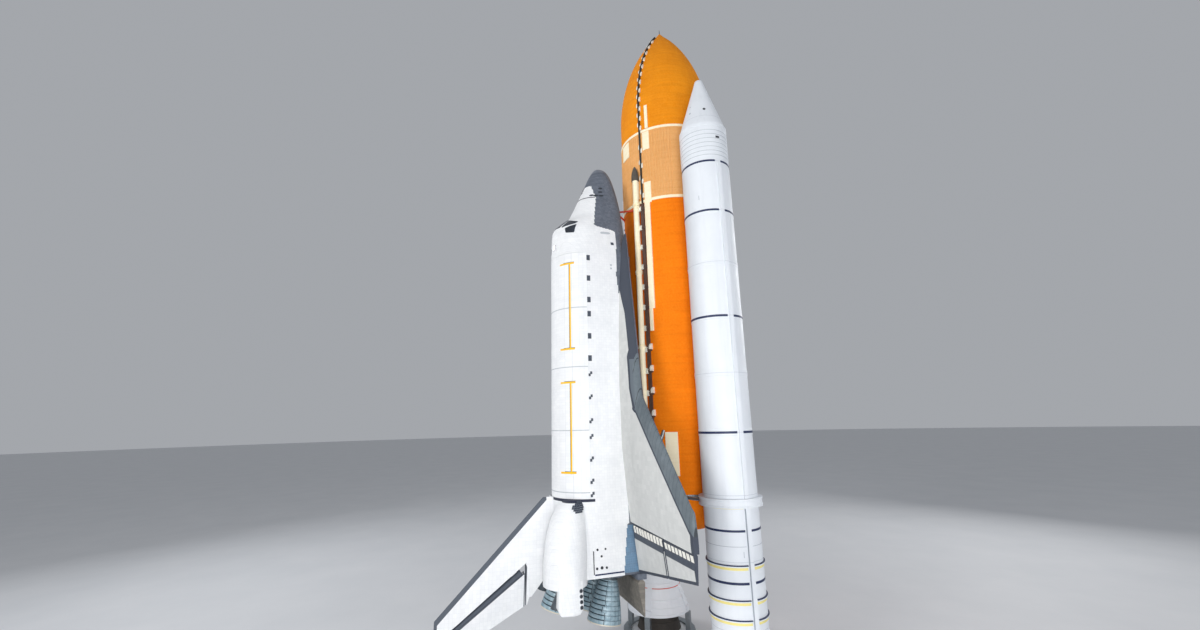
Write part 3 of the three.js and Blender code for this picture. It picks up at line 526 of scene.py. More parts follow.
def effect(name, takes, gives, fill):
    """A shader node group with named inputs and outputs that several finishes share."""
    tree = bpy.data.node_groups.new(name, "ShaderNodeTree")
    for title, start in takes.items():
        kind = "NodeSocketVector" if start is None else "NodeSocketFloat"
        socket = tree.interface.new_socket(name=title, in_out="INPUT", socket_type=kind)
        if start is not None:
            socket.default_value = start
    for title in gives:
        tree.interface.new_socket(name=title, in_out="OUTPUT", socket_type="NodeSocketFloat")
    source, target = tree.nodes.new("NodeGroupInput"), tree.nodes.new("NodeGroupOutput")
    graph = Graph(tree)
    for result, title in zip(fill(graph, *[source.outputs[title] for title in takes]), gives):
        tree.links.new(result, target.inputs[title])
    return tree


def fill_orbiter_stations(g, point):
    x, y, z = g.split(point)
    span = g.math("ABSOLUTE", g.math("DIVIDE", x, INCH))
    return g.linear(z, -1 / INCH, ORBITER_FLOOR), span, g.linear(y, -1 / INCH, ORBITER_ZERO)


def fill_tank_stations(g, point):
    x, y, z = g.split(point)
    angle = g.math("DIVIDE", g.math("ARCTAN2", x, g.linear(y, -1.0, AXIS * INCH)), DEGREE)
    return g.linear(z, -1 / INCH, TANK_FLOOR), angle


def fill_between(g, value, low, high, soft):
    rise = g.math("DIVIDE", g.minus(value, low), soft, clamp=True)
    fall = g.math("DIVIDE", g.minus(high, value), soft, clamp=True)
    return (g.times(rise, fall),)


def fill_mottle(g, point, scale, contrast):
    grain = g.noise(point, scale, 6.0, 0.6)
    return (g.math("MULTIPLY_ADD", g.minus(grain, 0.5), contrast, 0.5, clamp=True),)


def fill_cells(g, across, along, width, length, gap):
    """Joint lines of a grid of plates, and a tone that differs from plate to plate."""
    marks, counts = [], []
    for value, size in ((across, width), (along, length)):
        share = g.math("DIVIDE", value, size)
        marks.append(g.below(g.times(g.wave(share, 0.5), size), gap))
        counts.append(g.math("FLOOR", share))
    tone = g.put("ShaderNodeTexWhiteNoise", {0: g.vector(*counts)}, out="Value", noise_dimensions="2D")
    return g.either(*marks), tone


def fill_foam(g, point, scale):
    """Sprayed foam: an orange-peel height with a broader ripple."""
    peel = g.put("ShaderNodeTexVoronoi", {"Vector": point, "Scale": scale}, out="Distance",
                 feature="SMOOTH_F1")
    ripple = g.noise(point, g.times(scale, 0.22), 5.0, 0.65)
    return (g.linear(peel, 0.5, ripple),)


def fill_streaks(g, point, scale):
    """Stains that run down the standing vehicle."""
    x, y, z = g.split(point)
    grain = g.noise(g.vector(x, y, g.times(z, 0.07)), scale, 5.0, 0.62)
    return (g.math("MULTIPLY_ADD", g.minus(grain, 0.52), 3.0, 0.0, clamp=True),)


ORBITER_STATIONS = effect("orbiter stations", {"Point": None}, ("Station", "Span", "Height"),
                          fill_orbiter_stations)
TANK_STATIONS = effect("tank stations", {"Point": None}, ("Station", "Angle"), fill_tank_stations)
BETWEEN = effect("between", {"Value": 0.0, "Low": 0.0, "High": 1.0, "Soft": 0.5}, ("Mask",), fill_between)
MOTTLE = effect("mottle", {"Point": None, "Scale": 4.0, "Contrast": 2.0}, ("Mask",), fill_mottle)
CELLS = effect("plate joints", {"Across": 0.0, "Along": 0.0, "Width": 6.0, "Length": 6.0, "Gap": 0.2},
               ("Joint", "Tone"), fill_cells)
FOAM = effect("sprayed foam", {"Point": None, "Scale": 60.0}, ("Height",), fill_foam)
STREAKS = effect("streaks", {"Point": None, "Scale": 3.0}, ("Mask",), fill_streaks)


class Surface(Graph):
    """The graph of a material, with the place that is coloured and the effects that finishes share."""

    def __init__(self, tree):
        super().__init__(tree)
        self.point = self.put("ShaderNodeTexCoord", out="Object")

    def facing(self):
        return self.split(self.put("ShaderNodeTexCoord", out="Normal"))

    def orbiter_stations(self):
        return self.use(ORBITER_STATIONS, Point=self.point)

    def between(self, value, low, high, soft):
        return self.use(BETWEEN, Value=value, Low=low, High=high, Soft=soft)

    def mottle(self, scale, contrast):
        return self.use(MOTTLE, Point=self.point, Scale=scale, Contrast=contrast)

    def streaks(self, scale):
        return self.use(STREAKS, Point=self.point, Scale=scale)

    def foam(self, scale):
        return self.use(FOAM, Point=self.point, Scale=scale)

    def grooved(self, joints):
        """A faintly rough height with grooves along the joints."""
        return self.linear(joints, -1.0, self.foam(90.0))


def finish(name, fill, bump=0.0, **sockets):
    """A material: fill draws its colour, roughness and height, and the rest is set on the shader."""
    material = bpy.data.materials.new(name)
    material.use_nodes = True
    graph = Surface(material.node_tree)
    shader = material.node_tree.nodes["Principled BSDF"]
    for title, value in sockets.items():
        shader.inputs[title.replace("_", " ").title().replace("Ior", "IOR")].default_value = value
    drawn = fill(graph)
    for title, socket in zip(("Base Color", "Roughness"), drawn):
        graph.join(socket, shader.inputs[title])
    if len(drawn) > 2:
        inputs = {"Height": drawn[2], "Strength": 1.0, "Distance": bump}
        graph.join(graph.put("ShaderNodeBump", inputs, out="Normal"), shader.inputs["Normal"])
    return material


def foam_finish(name, base, deep, pale):
    """Sprayed foam with darker clouds, pale flecks and faint rings of the spray gun's passes."""
    def fill(g):
        station, angle = g.use(TANK_STATIONS, Point=g.point)
        flecks = g.mottle(14.0, 3.0)
        passes = g.noise(g.vector(g.times(angle, 0.02), g.times(station, 0.11)), 1.0, 3.0)
        rings = g.math("MULTIPLY", g.math("SUBTRACT", passes, 0.42, clamp=True), 1.4, clamp=True)
        tone = g.tint(base, deep, g.mottle(0.9, 2.4), 0.55)
        tone = g.tint(tone, deep, rings)
        tone = g.tint(tone, pale, flecks, 0.22)
        tone = g.tint(tone, deep, g.streaks(2.2), 0.25)
        return tone, g.linear(flecks, 0.12, 0.78), g.foam(38.0)
    return finish(name, fill, bump=0.006, specular_ior_level=0.12)


OGIVE_FOAM = foam_finish("golden foam", "F2920E", "D57404", "FFBC46")
HYDROGEN_FOAM = foam_finish("orange foam", "FA8208", "DE6802", "FFA034")
TAN_FOAM = foam_finish("tan foam", "E9AC6A", "D69550", "F4CE9C")
CREAM_FOAM = foam_finish("cream foam", "FFF4D6", "F0E0B6", "FFFCF0")
WHITE_FOAM = foam_finish("white foam", "F3F0E4", "D8D2BF", "FFFFFF")


def paint_finish(name, base, worn, rough, size=5.0, **sockets):
    """Plain paint with a little dirt and slightly uneven gloss."""
    def fill(g):
        fine = g.mottle(size * 9, 2.0)
        tone = g.tint(base, worn, g.mottle(size, 2.6), 0.45)
        return tone, g.linear(fine, 0.16, rough - 0.08), fine
    return finish(name, fill, bump=0.0006, **sockets)


STEEL = paint_finish("grey steel", "8D9499", "666C70", 0.42, metallic=0.7)
RED_PAINT = paint_finish("red paint", "D9482B", "A93A24", 0.5)
YELLOW = paint_finish("yellow paint", "FFC400", "E0A400", 0.55)
NAVY = paint_finish("navy stripe", "15234A", "203056", 0.5)
BLACK = paint_finish("dark seal", "22262D", "383D45", 0.6)
# pale grey for seams, rims and ports, and for the painted shade under the forward skirt's rings
GREY_LINE = paint_finish("pale seam and painted ring shade", "B9BEC4", "979DA5", 0.6)
RUB_WHITE = paint_finish("rub plate white", "ECEAE2", "CFCBC0", 0.5)
# grey for the painted shade on the tunnel's side face, for one thin band and for the small marks on the case
PAINTED_SHADE_AND_MARK_GREY = paint_finish("painted tunnel shade and mark grey", "AEB4BD", "9299A3", 0.6)
CREAM_YELLOW = paint_finish("primer yellow", "EBDD8C", "D9CB84", 0.55)
CAP_GREY = paint_finish("cap grey", "4B4640", "6A6258", 0.75)
LINER = paint_finish("nozzle liner", "2E2A27", "4A443E", 0.85)
DARK_PLATE = paint_finish("dark plate", "3B424E", "4D5561", 0.62, size=9.0)
TRAY_BROWN = paint_finish("brown tray", "5A4136", "2E2622", 0.7, size=9.0)
TRAY_GREY = paint_finish("dark tray", "2C2A27", "1C1B1A", 0.7, size=9.0)


def fill_booster_white(g):
    station = g.linear(g.split(g.point)[2], -1 / INCH, BOOSTER_FLOOR)
    clouds = g.mottle(1.3, 2.0)
    seams = g.below(g.wave(g.minus(station, CASE_SEAM), SEGMENT / 2), 0.6)
    tone = g.tint("DFE3E8", "CACFD7", clouds, 0.3)
    tone = g.tint(tone, "B9BFC7", g.streaks(4.0), 0.3)
    tone = g.tint(tone, "9BA3AE", seams, 0.5)
    grain = g.times(g.mottle(26.0, 2.0), 0.3)
    return tone, g.linear(clouds, 0.15, 0.42), g.linear(seams, -1.0, grain)


BOOSTER_WHITE = finish("booster white", fill_booster_white, bump=0.002)

# the light and the shaded tone of each kind of tile
WHITE_TILES = ("EDEEEF", "CDD0D5")
# the wing's white tiles are a darker copy of the body's white: painted shade on the wing's upper side
PAINTED_SHADE_WING_TILES = ("CFD0CE", "B5B7B6")
DARK_TILES = ("6B727E", "4A505B")
BAY_PANELS = ("B9BDBE", "9A9FA2")
FLAP_BROWNS = ("8B857C", "5B5853")
DARK_JOINT = "3A3F48"


def tile_tones(g, across, down, size, tones, variety):
    """Square tiles with thin joints, each a little lighter or darker than the next."""
    joint, tone = g.use(CELLS, Across=across, Along=down, Width=size, Length=size, Gap=0.16)
    light, shade = tones
    base = g.tint(light, shade, tone, variety)
    return g.tint(base, shade, g.mottle(1.7, 2.2), 0.35), joint


def stained_tiles(g, grid, tones, variety, stain, amount, joint_amount):
    """Pale tiles with stains that run down them. Grid holds the two measures and the tiles' size."""
    pale, joint = tile_tones(g, *grid, tones, variety)
    pale = g.tint(pale, stain, g.streaks(3.0), amount)
    return g.tint(pale, "9EA3AA", joint, joint_amount), joint


CURVE_TOP = 500.0  # a curve node's values go up to 1, and a table's up to this


def edge_curve(g, value, table):
    """A height or span that follows a table of stations, as one curve node."""
    low, high = table[0][0], table[-1][0]
    share = g.math("DIVIDE", g.minus(value, low), high - low, clamp=True)
    node = g.tree.nodes.new("ShaderNodeFloatCurve")
    points = node.mapping.curves[0].points
    while len(points) < len(table):
        points.new(0.5, 0.5)
    for point, (at, height) in zip(points, table):
        point.location = ((at - low) / (high - low), height / CURVE_TOP)
        point.handle_type = "VECTOR"
    node.mapping.update()
    g.join(share, node.inputs["Value"])
    return g.times(node.outputs[0], CURVE_TOP)


def stepped(g, value, size):
    return g.linear(g.math("FLOOR", g.math("DIVIDE", value, size)), size, size / 2)


# station and height of the line below which the body's tiles are dark
DARK_LINE = ((236, 470), (316, 470), (317, 373), (360, 366), (364, 363), (483, 384), (498, 314), (600, 318),
             (650, 320), (730, 311), (1379, 305), (1382, 312.5), (1500, 327.5), (1620, 327.5))


def fill_body_skin(g):
    """White tiles above and dark ones below, the grey bay inside, the dark base behind, and a painted blue
    reflection low on the aft sides.
    """
    station, span, height = g.orbiter_stations()
    sideways, _, upwards = g.facing()
    dark = g.below(stepped(g, height, 3.0), edge_curve(g, stepped(g, station, 2.0), DARK_LINE))
    wide = g.times(g.minus(height, DOOR_MIDDLE), BAY_ROUND)
    reach = g.math("SQRT", g.math("ADD", g.times(span, span), g.times(wide, wide)))
    bay = g.both(g.below(reach, 101.9), g.between(station, 581.5, 1307.6, 0.1))
    base_end = g.both(g.above(station, 1500.0), g.below(upwards, -0.7))
    # painted blue reflection on the dark tiles low on the aft sides
    painted_blue_reflection = g.both(g.between(station, 1382.0, 1503.0, 1.0), g.below(height, 330.0),
                  g.above(g.math("ABSOLUTE", sideways), 0.6))
    seam = g.both(g.between(station, 1306.5, 1315.0, 1.0), g.above(height, 404.0))

    girth = g.math("ADD", height, span)
    white, joint = stained_tiles(g, (girth, station, 8.0), WHITE_TILES, 0.22, "C5C6C4", 0.22, 0.22)
    slate, dark_joint = tile_tones(g, girth, station, 6.0, DARK_TILES, 0.6)
    # patchy strength of the painted blue reflection
    reflection_patchiness = g.math("MULTIPLY_ADD", g.mottle(6.0, 2.0), 0.5, 0.45, clamp=True)
    slate = g.tint(slate, "6B92B2", g.both(painted_blue_reflection, reflection_patchiness))
    slate = g.tint(slate, DARK_JOINT, dark_joint, 0.55)
    panels, panel_joint = tile_tones(g, reach, station, 60.0, BAY_PANELS, 0.3)
    panels = g.tint(panels, "6C7175", panel_joint, 0.7)

    tone = g.mix(dark, white, slate)
    tone = g.tint(tone, "20263A", seam)
    tone = g.mix(base_end, tone, slate)
    tone = g.mix(bay, tone, panels)
    joints = g.either(joint, g.both(dark, dark_joint))
    return tone, g.linear(dark, -0.18, 0.72), g.grooved(joints)


BODY_SKIN = finish("orbiter skin", fill_body_skin, bump=0.0012)


# station and span of the line outboard of which the strake's upper side is dark
WING_BORDER = ((582, 100), (694, 104), (716, 112), (748, 122), (773, 130), (831, 141), (893, 152.5),
               (913, 148.2), (967, 156), (1007, 161), (1061.7, 177.4))
STRAKE_PANELS = 921.0  # the strake's grey panels reach from this station to its end
STRAKE_END = 1064.0


def wing_finish(name, hinge_band=None):
    """Pale tiles above and dark ones below, with grey panels and dark strips along the edges above."""
    def fill(g):
        station, span, _ = g.orbiter_stations()
        under = g.above(g.facing()[1], 0.05)
        swept = g.times(g.minus(g.minus(station, WING_LEAD), span), 0.707)
        outer = g.above(span, 176.0)
        beyond = g.minus(span, edge_curve(g, station, WING_BORDER))
        outside = g.above(beyond, 0.0)
        strake = g.below(station, STRAKE_END)
        grey = g.either(g.both(outer, g.below(swept, 34.0)),
                        g.both(g.above(station, STRAKE_PANELS), outside, strake))
        strips = [g.both(g.below(station, STRAKE_PANELS), outside),
                  g.both(outer, g.between(swept, 32.3, 38.0, 0.6)),
                  g.both(g.between(beyond, 0.0, 7.5, 0.6), strake),
                  g.above(span, 455.0),
                  g.above(g.linear(span, TRAIL_SWEEP, station), 1518.4)]
        if hinge_band:
            strips.append(g.between(station, *hinge_band, 0.6))
        pale, joint = stained_tiles(g, (span, station, 12.0), PAINTED_SHADE_WING_TILES, 0.35, "ACAEAC", 0.45, 0.25)
        slate, dark_joint = tile_tones(g, g.math("ADD", span, station), g.minus(span, station),
                                       8.5, DARK_TILES, 0.6)
        tone = g.tint(pale, "5F6870", grey)
        tone = g.tint(tone, "3B414D", g.either(*strips))
        tone = g.mix(under, tone, g.tint(slate, DARK_JOINT, dark_joint, 0.5))
        joints = g.either(joint, g.both(under, dark_joint))
        return tone, g.linear(under, -0.15, 0.7), g.grooved(joints)
    return finish(name, fill, bump=0.0012)


WING_SKIN = wing_finish("wing skin")
ELEVON_SKIN = wing_finish("elevon skin", (1360.0, 1409.0))


FIN_LEAD = 777.9  # the fin's front edge lies at this station plus the height
FIN_FOOT = 500.0


def fill_fin_skin(g):
    """White tiles with a dark front edge, a dark tip, and dark strips at the foot and along the hinge."""
    station, _, height = g.orbiter_stations()
    lead = g.minus(g.minus(station, FIN_LEAD), height)
    hinge = g.linear(g.minus(height, FIN_FOOT), 0.304, g.minus(lead, 161.1))
    strips = g.either(
        g.both(g.below(lead, 17.0), g.above(height, 520.0)),
        g.both(g.between(hinge, -12.0, 7.0, 0.8), g.between(height, 577.0, 781.0, 0.6)),
        g.both(g.between(height, 576.0, 584.0, 0.6), g.above(hinge, -8.0)),
        g.above(height, 808.0))
    white, joint = stained_tiles(g, (height, station, 10.0), WHITE_TILES, 0.25, "C2C3C1", 0.25, 0.25)
    return g.tint(white, "4D545E", strips), g.linear(joint, 0.1, 0.68), g.grooved(joint)


FIN_SKIN = finish("fin skin", fill_fin_skin, bump=0.0012)


def fill_edge_carbon(g):
    station, span, _ = g.orbiter_stations()
    joint, tone = g.use(CELLS, Across=span, Along=station, Width=14.2, Length=900.0, Gap=0.35)
    clouds = g.mottle(3.0, 2.4)
    base = g.tint("68737A", "545E65", tone, 0.5)
    base = g.tint(base, "474F55", clouds, 0.5)
    base = g.tint(base, "343A3F", joint)
    return base, g.linear(clouds, 0.2, 0.45), g.times(joint, -1.0)


EDGE_CARBON = finish("leading edge panels", fill_edge_carbon, bump=0.004)


def fill_nose_carbon(g):
    clouds = g.mottle(5.0, 2.2)
    return g.tint("7B818B", "636974", clouds), g.linear(clouds, 0.15, 0.5), g.mottle(70.0, 2.0)


NOSE_CARBON = finish("nose cap", fill_nose_carbon, bump=0.0006)


def fill_flap_tiles(g):
    station, span, _ = g.orbiter_stations()
    base, joint = tile_tones(g, span, station, 7.0, FLAP_BROWNS, 0.6)
    return g.tint(base, "3A3A3C", joint, 0.6), g.linear(joint, 0.1, 0.66), g.times(joint, -1.0)


FLAP_TILES = finish("flap tiles", fill_flap_tiles, bump=0.002)


def fill_bell(g):
    """Foil blankets over the bell: plain ones with deep bands on one side, quilted ones on the other, and a
    stepped overlap between them. Place holds the turn's cosine and sine and the distance down the bell."""
    place = g.put("ShaderNodeAttribute", out="Vector", attribute_name="place")
    cosine, sine, down = g.split(place)
    angle = g.math("DIVIDE", g.math("ARCTAN2", sine, cosine), DEGREE)
    step = g.math("ADD", g.between(down, 124.0, 138.0, 0.3), g.times(g.above(down, 138.0), -0.25))
    around = g.wave(g.minus(angle, 120.0), 180.0)
    overlap = g.linear(step, 9.0, g.minus(around, 96.0))
    quilted = g.above(overlap, 0.0)
    edge = g.below(g.math("ABSOLUTE", overlap), 1.3)
    bands = g.wave(g.minus(down, BAND_TOP), BAND_STEP / 2)
    stitches = g.both(g.below(bands, 1.2), g.below(g.wave(angle, 2.0), 0.9))
    columns = g.both(g.below(g.wave(angle, 9.0), 0.7), g.below(g.wave(down, 1.1), 0.6))
    dark = g.either(edge, g.both(g.minus(1.0, quilted), g.below(bands, 1.4)),
                    g.times(g.both(quilted, g.either(stitches, columns)), 0.9))
    clouds = g.mottle(6.0, 2.6)
    base = g.tint("A6B9C2", "74909D", clouds)
    base = g.tint(base, "22333D", dark)
    base = g.tint(base, "CFC9BA", g.above(down, 165.0))
    base = g.tint(base, "4D555C", g.below(down, 61.9))
    height = g.linear(g.mottle(30.0, 2.0), 0.35, g.times(dark, -1.0))
    return base, g.linear(clouds, 0.2, 0.34), height


BELL = finish("bell metal", fill_bell, bump=0.003, metallic=0.2)


def fill_glass(g):
    fine = g.mottle(3.0, 2.0)
    return g.tint("10151D", "232C3A", fine), g.linear(fine, 0.05, 0.06)


GLASS = finish("window glass", fill_glass, coat_weight=1.0, coat_roughness=0.04)


def fill_floor(g):
    fine = g.mottle(6.0, 1.6)
    return g.tint("D3D4D6", "C8CACD", g.mottle(0.25, 1.4)), g.linear(fine, 0.1, 0.6), fine


FLOOR = finish("pale floor", fill_floor, bump=0.0005)


# Nodes that keep their own shape

def smoothing_nodes():
    """Joins a solid's loose triangles and shades them smooth, apart from its real edges."""
    tree = bpy.data.node_groups.new("smooth shading", "GeometryNodeTree")
    tree.interface.new_socket(name="Geometry", in_out="INPUT", socket_type="NodeSocketGeometry")
    tree.interface.new_socket(name="Geometry", in_out="OUTPUT", socket_type="NodeSocketGeometry")
    g = Graph(tree)
    source = tree.nodes.new("NodeGroupInput").outputs[0]
    merged = g.put("GeometryNodeMergeByDistance", {"Geometry": source, "Distance": 0.0001})
    bare = g.put("GeometryNodeRemoveAttribute", {"Geometry": merged, "Name": "custom_normal"})
    angle = g.put("GeometryNodeInputMeshEdgeAngle", out="Unsigned Angle")
    gentle = g.put("FunctionNodeCompare", {0: angle, 1: 28 * DEGREE}, operation="LESS_THAN")
    faces = g.put("GeometryNodeSetShadeSmooth", {"Geometry": bare, "Shade Smooth": True}, domain="FACE")
    edges = g.put("GeometryNodeSetShadeSmooth", {"Geometry": faces, "Shade Smooth": gentle}, domain="EDGE")
    g.join(edges, tree.nodes.new("NodeGroupOutput").inputs[0])
    return tree


SMOOTHING = smoothing_nodes()


def dress(names, material):
    for name in names:
        node = NODES[name]
        node.data.materials.clear()
        node.data.materials.append(material)
        node.modifiers.new("smooth shading", "NODES").node_group = SMOOTHING


def both_sides(*names):
    return [f"{name}_{side}" for name in names for _, side in SIDES]


dress(["mid_fuselage", "aft_fuselage", *both_sides("payload_door", "oms_pod")], BODY_SKIN)
dress(both_sides("wing"), WING_SKIN)
dress(both_sides("elevon_inboard", "elevon_outboard"), ELEVON_SKIN)
dress(both_sides("wing_edge"), EDGE_CARBON)
dress(["fin", *both_sides("rudder_panel")], FIN_SKIN)
dress(["rudder_spine"], DARK_PLATE)
dress(["body_flap"], FLAP_TILES)
dress(["et_cable_tray"], TRAY_BROWN)
dress(["et_bipod"], RED_PAINT)
dress(["et_crossbeam", "engine_gimbal_upper"], STEEL)
dress(both_sides("et_aft_struts", "booster_struts", "hold_down_stand", "engine_gimbal"), STEEL)
dress(both_sides("booster_nozzle_bearing"), LINER)


# The tank

def build_tank():
    nose = Shape()
    cone = Curve([(343, 1.8), (348, 5.4), (355, 10.4), (363, 16), (OGIVE_TOP, ogive_radius(OGIVE_TOP))])
    foot = OGIVE_TOP - SEAT
    nose.lathe(tank, [(0, 342.8), *outline(cone, 343, foot, 14), (0, foot)], 64)
    nose.lathe(tank, [(0, 322.5), (0.7, 324), (1.5, 333), (1.7, 344), (0, 344)], 32, paint=1)
    nose.stand_in("et_nose_cap", [OGIVE_FOAM, STEEL], "orange_foam")

    ogive = Shape()
    foot = INTERTANK_TOP - SEAT
    ogive.lathe(tank, [(0, OGIVE_TOP), *outline(ogive_radius, OGIVE_TOP, OGIVE_END, 44),
                       (TANK_RADIUS, 808), (TANK_RADIUS, foot), (0, foot)], 144)
    ogive.stand_in("et_oxygen_tank", [OGIVE_FOAM], "orange_foam")

    barrel = Shape()
    dome = [(TANK_RADIUS * math.cos(a * DEGREE), DOME_TOP + DOME_DEPTH * math.sin(a * DEGREE))
            for a in spread(0, 90, 20)]
    barrel.lathe(tank, [(0, INTERTANK_END), (TANK_RADIUS, INTERTANK_END),
                        *[(TANK_RADIUS, s) for s in spread(1200, 2000, 8)],
                        *dome[:-1], (0, DOME_TOP + DOME_DEPTH)], 144)
    barrel.stand_in("et_hydrogen_tank", [HYDROGEN_FOAM], "orange_foam")
    build_intertank()
    build_tank_patches()


def build_intertank():
    """The intertank's skin has a rib every few degrees, and its two thrust panels have none."""
    ribs = Shape()
    count = 108
    share = 360 / count
    crest = TANK_RADIUS + 2.0
    valley = TANK_RADIUS + 0.8
    angles = [k * share + share * step for k in range(count) for step in (0, 0.3, 0.4, 0.9)]
    waves = [valley, valley, crest, crest] * count
    panel = [abs(abs(a - 180) - 90) < 22 for a in angles]
    reach = [valley + 0.9 if flat else wave for wave, flat in zip(waves, panel)]
    rim = [TANK_RADIUS + 2.2] * len(angles)
    centre = [0] * len(angles)
    foot = INTERTANK_END - SEAT
    levels = [(INTERTANK_TOP, centre), (INTERTANK_TOP, rim), (863.8, rim), (866, reach),
              (1110, reach), (1112, rim), (foot, rim), (foot, centre)]
    ribs.sheet([[tank(station, a, radius) for a, radius in zip(angles, radii)] for station, radii in levels],
               around=True)
    for low, high in ((853, 862), (1113, 1122.6)):
        inner, outer = TANK_RADIUS + 1, TANK_RADIUS + 2.6
        band = [(inner, low), (outer, low), (outer, high), (inner, high), (inner, low)]
        ribs.lathe(tank, band, 144, paint=1)
    ribs.stand_in("et_intertank", [TAN_FOAM, CREAM_FOAM], "tan_foam", sharp=25)


# station from and to, angle from and to of each hand-poured patch
FOAM_PATCHES = ((762, 851, 37.8, 41.6), (864, 931, 33.6, 42.4), (868, 926, -4.5, 11), (1873, 1998, 44, 57))
# angle from and to, station from and to, height and steps of each stretch of the ramp beside the cable tray
RAMP = (
    ((33.6, 42), (1052, 1128), (0.5, 4.6), (6, 4)),
    ((33.2, 39.8), (1122, 1490), (-0.4, 5.4), (5, 24)),
    ((33.2, 37.2), (1489, 1562), (-0.4, 5.4), (4, 6)),
)


def build_tank_patches():
    patches = Shape()
    for low, high, start, end in FOAM_PATCHES:
        patches.slab(tank_skin, (start, end), (low, high), -0.4, 3.6, (6, 8))
    patches.make("et_foam_patches", [CREAM_FOAM], "cream_foam", bevel=0.5)

    ramp = Shape()
    for angles, stations, heights, steps in RAMP:
        ramp.slab(tank_skin, angles, stations, *heights, steps)
    ramp.make("et_cable_ramp", [CREAM_FOAM], "cream_foam", bevel=0.8)
    build_tray_blocks()
    build_upper_tray()


def half_turn(station, width):
    """Half the angle that a width covers on the tank."""
    return width / 2 / ogive_radius(station) / DEGREE


def tray_block(shape, station, angle, length, width, height):
    """A block of foam beside a tray, with a slope at its upper end."""
    turn = half_turn(station, width)
    ridge, end = station + 0.5 * length, station + length
    section = ((station, -0.4), (station, 0.6 * height), (ridge, height), (end, height), (end, -0.4))
    points = [raised(tank_skin, angle + side, s, lift) for side in (-turn, turn) for s, lift in section]
    faces = [(0, 1, 2, 3, 4), (9, 8, 7, 6, 5)] + [(k, (k + 1) % 5, 5 + (k + 1) % 5, 5 + k) for k in range(5)]
    shape.add(points, faces)


def build_tray_blocks():
    blocks = Shape()
    for station in (*range(400, 850, 38), 905, 962, 1020, 1072):
        apart = half_turn(station, 9.2)
        tray_block(blocks, station, TRAY_ANGLE - apart, 18, 4.4, 6)
        tray_block(blocks, station + 15, TRAY_ANGLE + apart, 18, 4.4, 6)
    for station in spread(1134, 1134 + 13 * 68, 13):
        tray_block(blocks, station, TRAY_ANGLE - 2.5, 18, 9.2, 12.6)
        if station > 1572:
            tray_block(blocks, station - 8, TRAY_ANGLE + 2.6, 18, 7.2, 12.6)
    blocks.make("et_tray_blocks", [WHITE_FOAM], "cream_foam", bevel=0.5)


def build_upper_tray():
    tray = Shape()
    rows = []
    for station in spread(385, 1123, 60):
        half = half_turn(station, 5.2)
        corners = ((-half, -0.4), (-half, 6.4), (half, 6.4), (half, -0.4))
        rows.append([raised(tank_skin, TRAY_ANGLE + side, station, lift) for side, lift in corners])
    tray.sheet(rows, around=True, ends=True)
    tray.stand_in("et_upper_cable_tray", [TRAY_GREY], "cream_foam")


COLLARS = (1130, 1365, 1610, 1850, 2050)
# how far from its station, and how much wider than the line, each ring of a collar is
COLLAR_RINGS = ((-6, 0), (-5, 2.5), (-2, 2.5), (-1.4, 1.4), (-0.4, 1.4), (0.4, 2.5), (5, 2.5), (6, 0))
# station and radius along the grey cap over the line's upper end
LINE_CAP = ((1040, 12.4), (1027, 12.4), (1015, 11.4), (1004, 9.2), (994, 6.0), (987, 2.4), (985, 0.6))


def build_feedline():
    line = Shape()
    rings = [(station, LINE_RADIUS) for station in spread(1036, 2105, 90)]
    rings += [(collar + step, LINE_RADIUS + extra) for collar in COLLARS for step, extra in COLLAR_RINGS]
    for stations, paint in ((sorted(rings, key=lambda ring: ring[0]), 0), (LINE_CAP, 1)):
        line.tube([tank_line(s) for s, _ in stations], [radius for _, radius in stations], 40, paint)
    foot = tank_line(2095.5)
    belly = Vector((foot.x, (ORBITER_ZERO - 266.5) * INCH, foot.z))
    line.tube([foot, belly], LINE_RADIUS, 40)
    half = half_turn(OGIVE_END, 10)
    angles = (LINE_ANGLE - half, LINE_ANGLE + half)
    for collar in COLLARS:
        line.slab(tank_skin, angles, (collar - 4, collar + 4), 0.2, 13, (2, 1))
    line.slab(tank_skin, (LINE_ANGLE - 2.2, LINE_ANGLE + 2.2), (1040, 1103), 2.4, 13, (3, 4))
    line.stand_in("et_feedline", [CREAM_FOAM, CAP_GREY], "cream_foam")


# The boosters

def clear_of_tank(station, angle, radius):
    """A booster point, held back from the tank's skin where a ring would reach into it."""
    point = booster(station, angle, radius)
    away = Vector((point.x, point.y - AXIS * INCH))
    least = (TANK_RADIUS + 3) * INCH
    if away.length < least:
        away *= least / away.length
        point.x, point.y = away.x, away.y + AXIS * INCH
    return point


def booster_box(out, across, station):
    return Vector((BOOSTER_SPREAD + out, AXIS - across, BOOSTER_FLOOR - station)) * INCH


def booster_turned(turn, radius, across, station):
    spot = turn @ Vector((radius, across, 0))
    return booster_box(spot.x, spot.y, station)


def ring_profile(inner, depth, station, half):
    """A ring's section, narrower at its rim than at its foot."""
    outer, rim = inner + depth, half * 0.7
    return [(inner, station - half), (outer, station - rim), (outer, station + rim),
            (inner, station + half), (inner, station - half)]


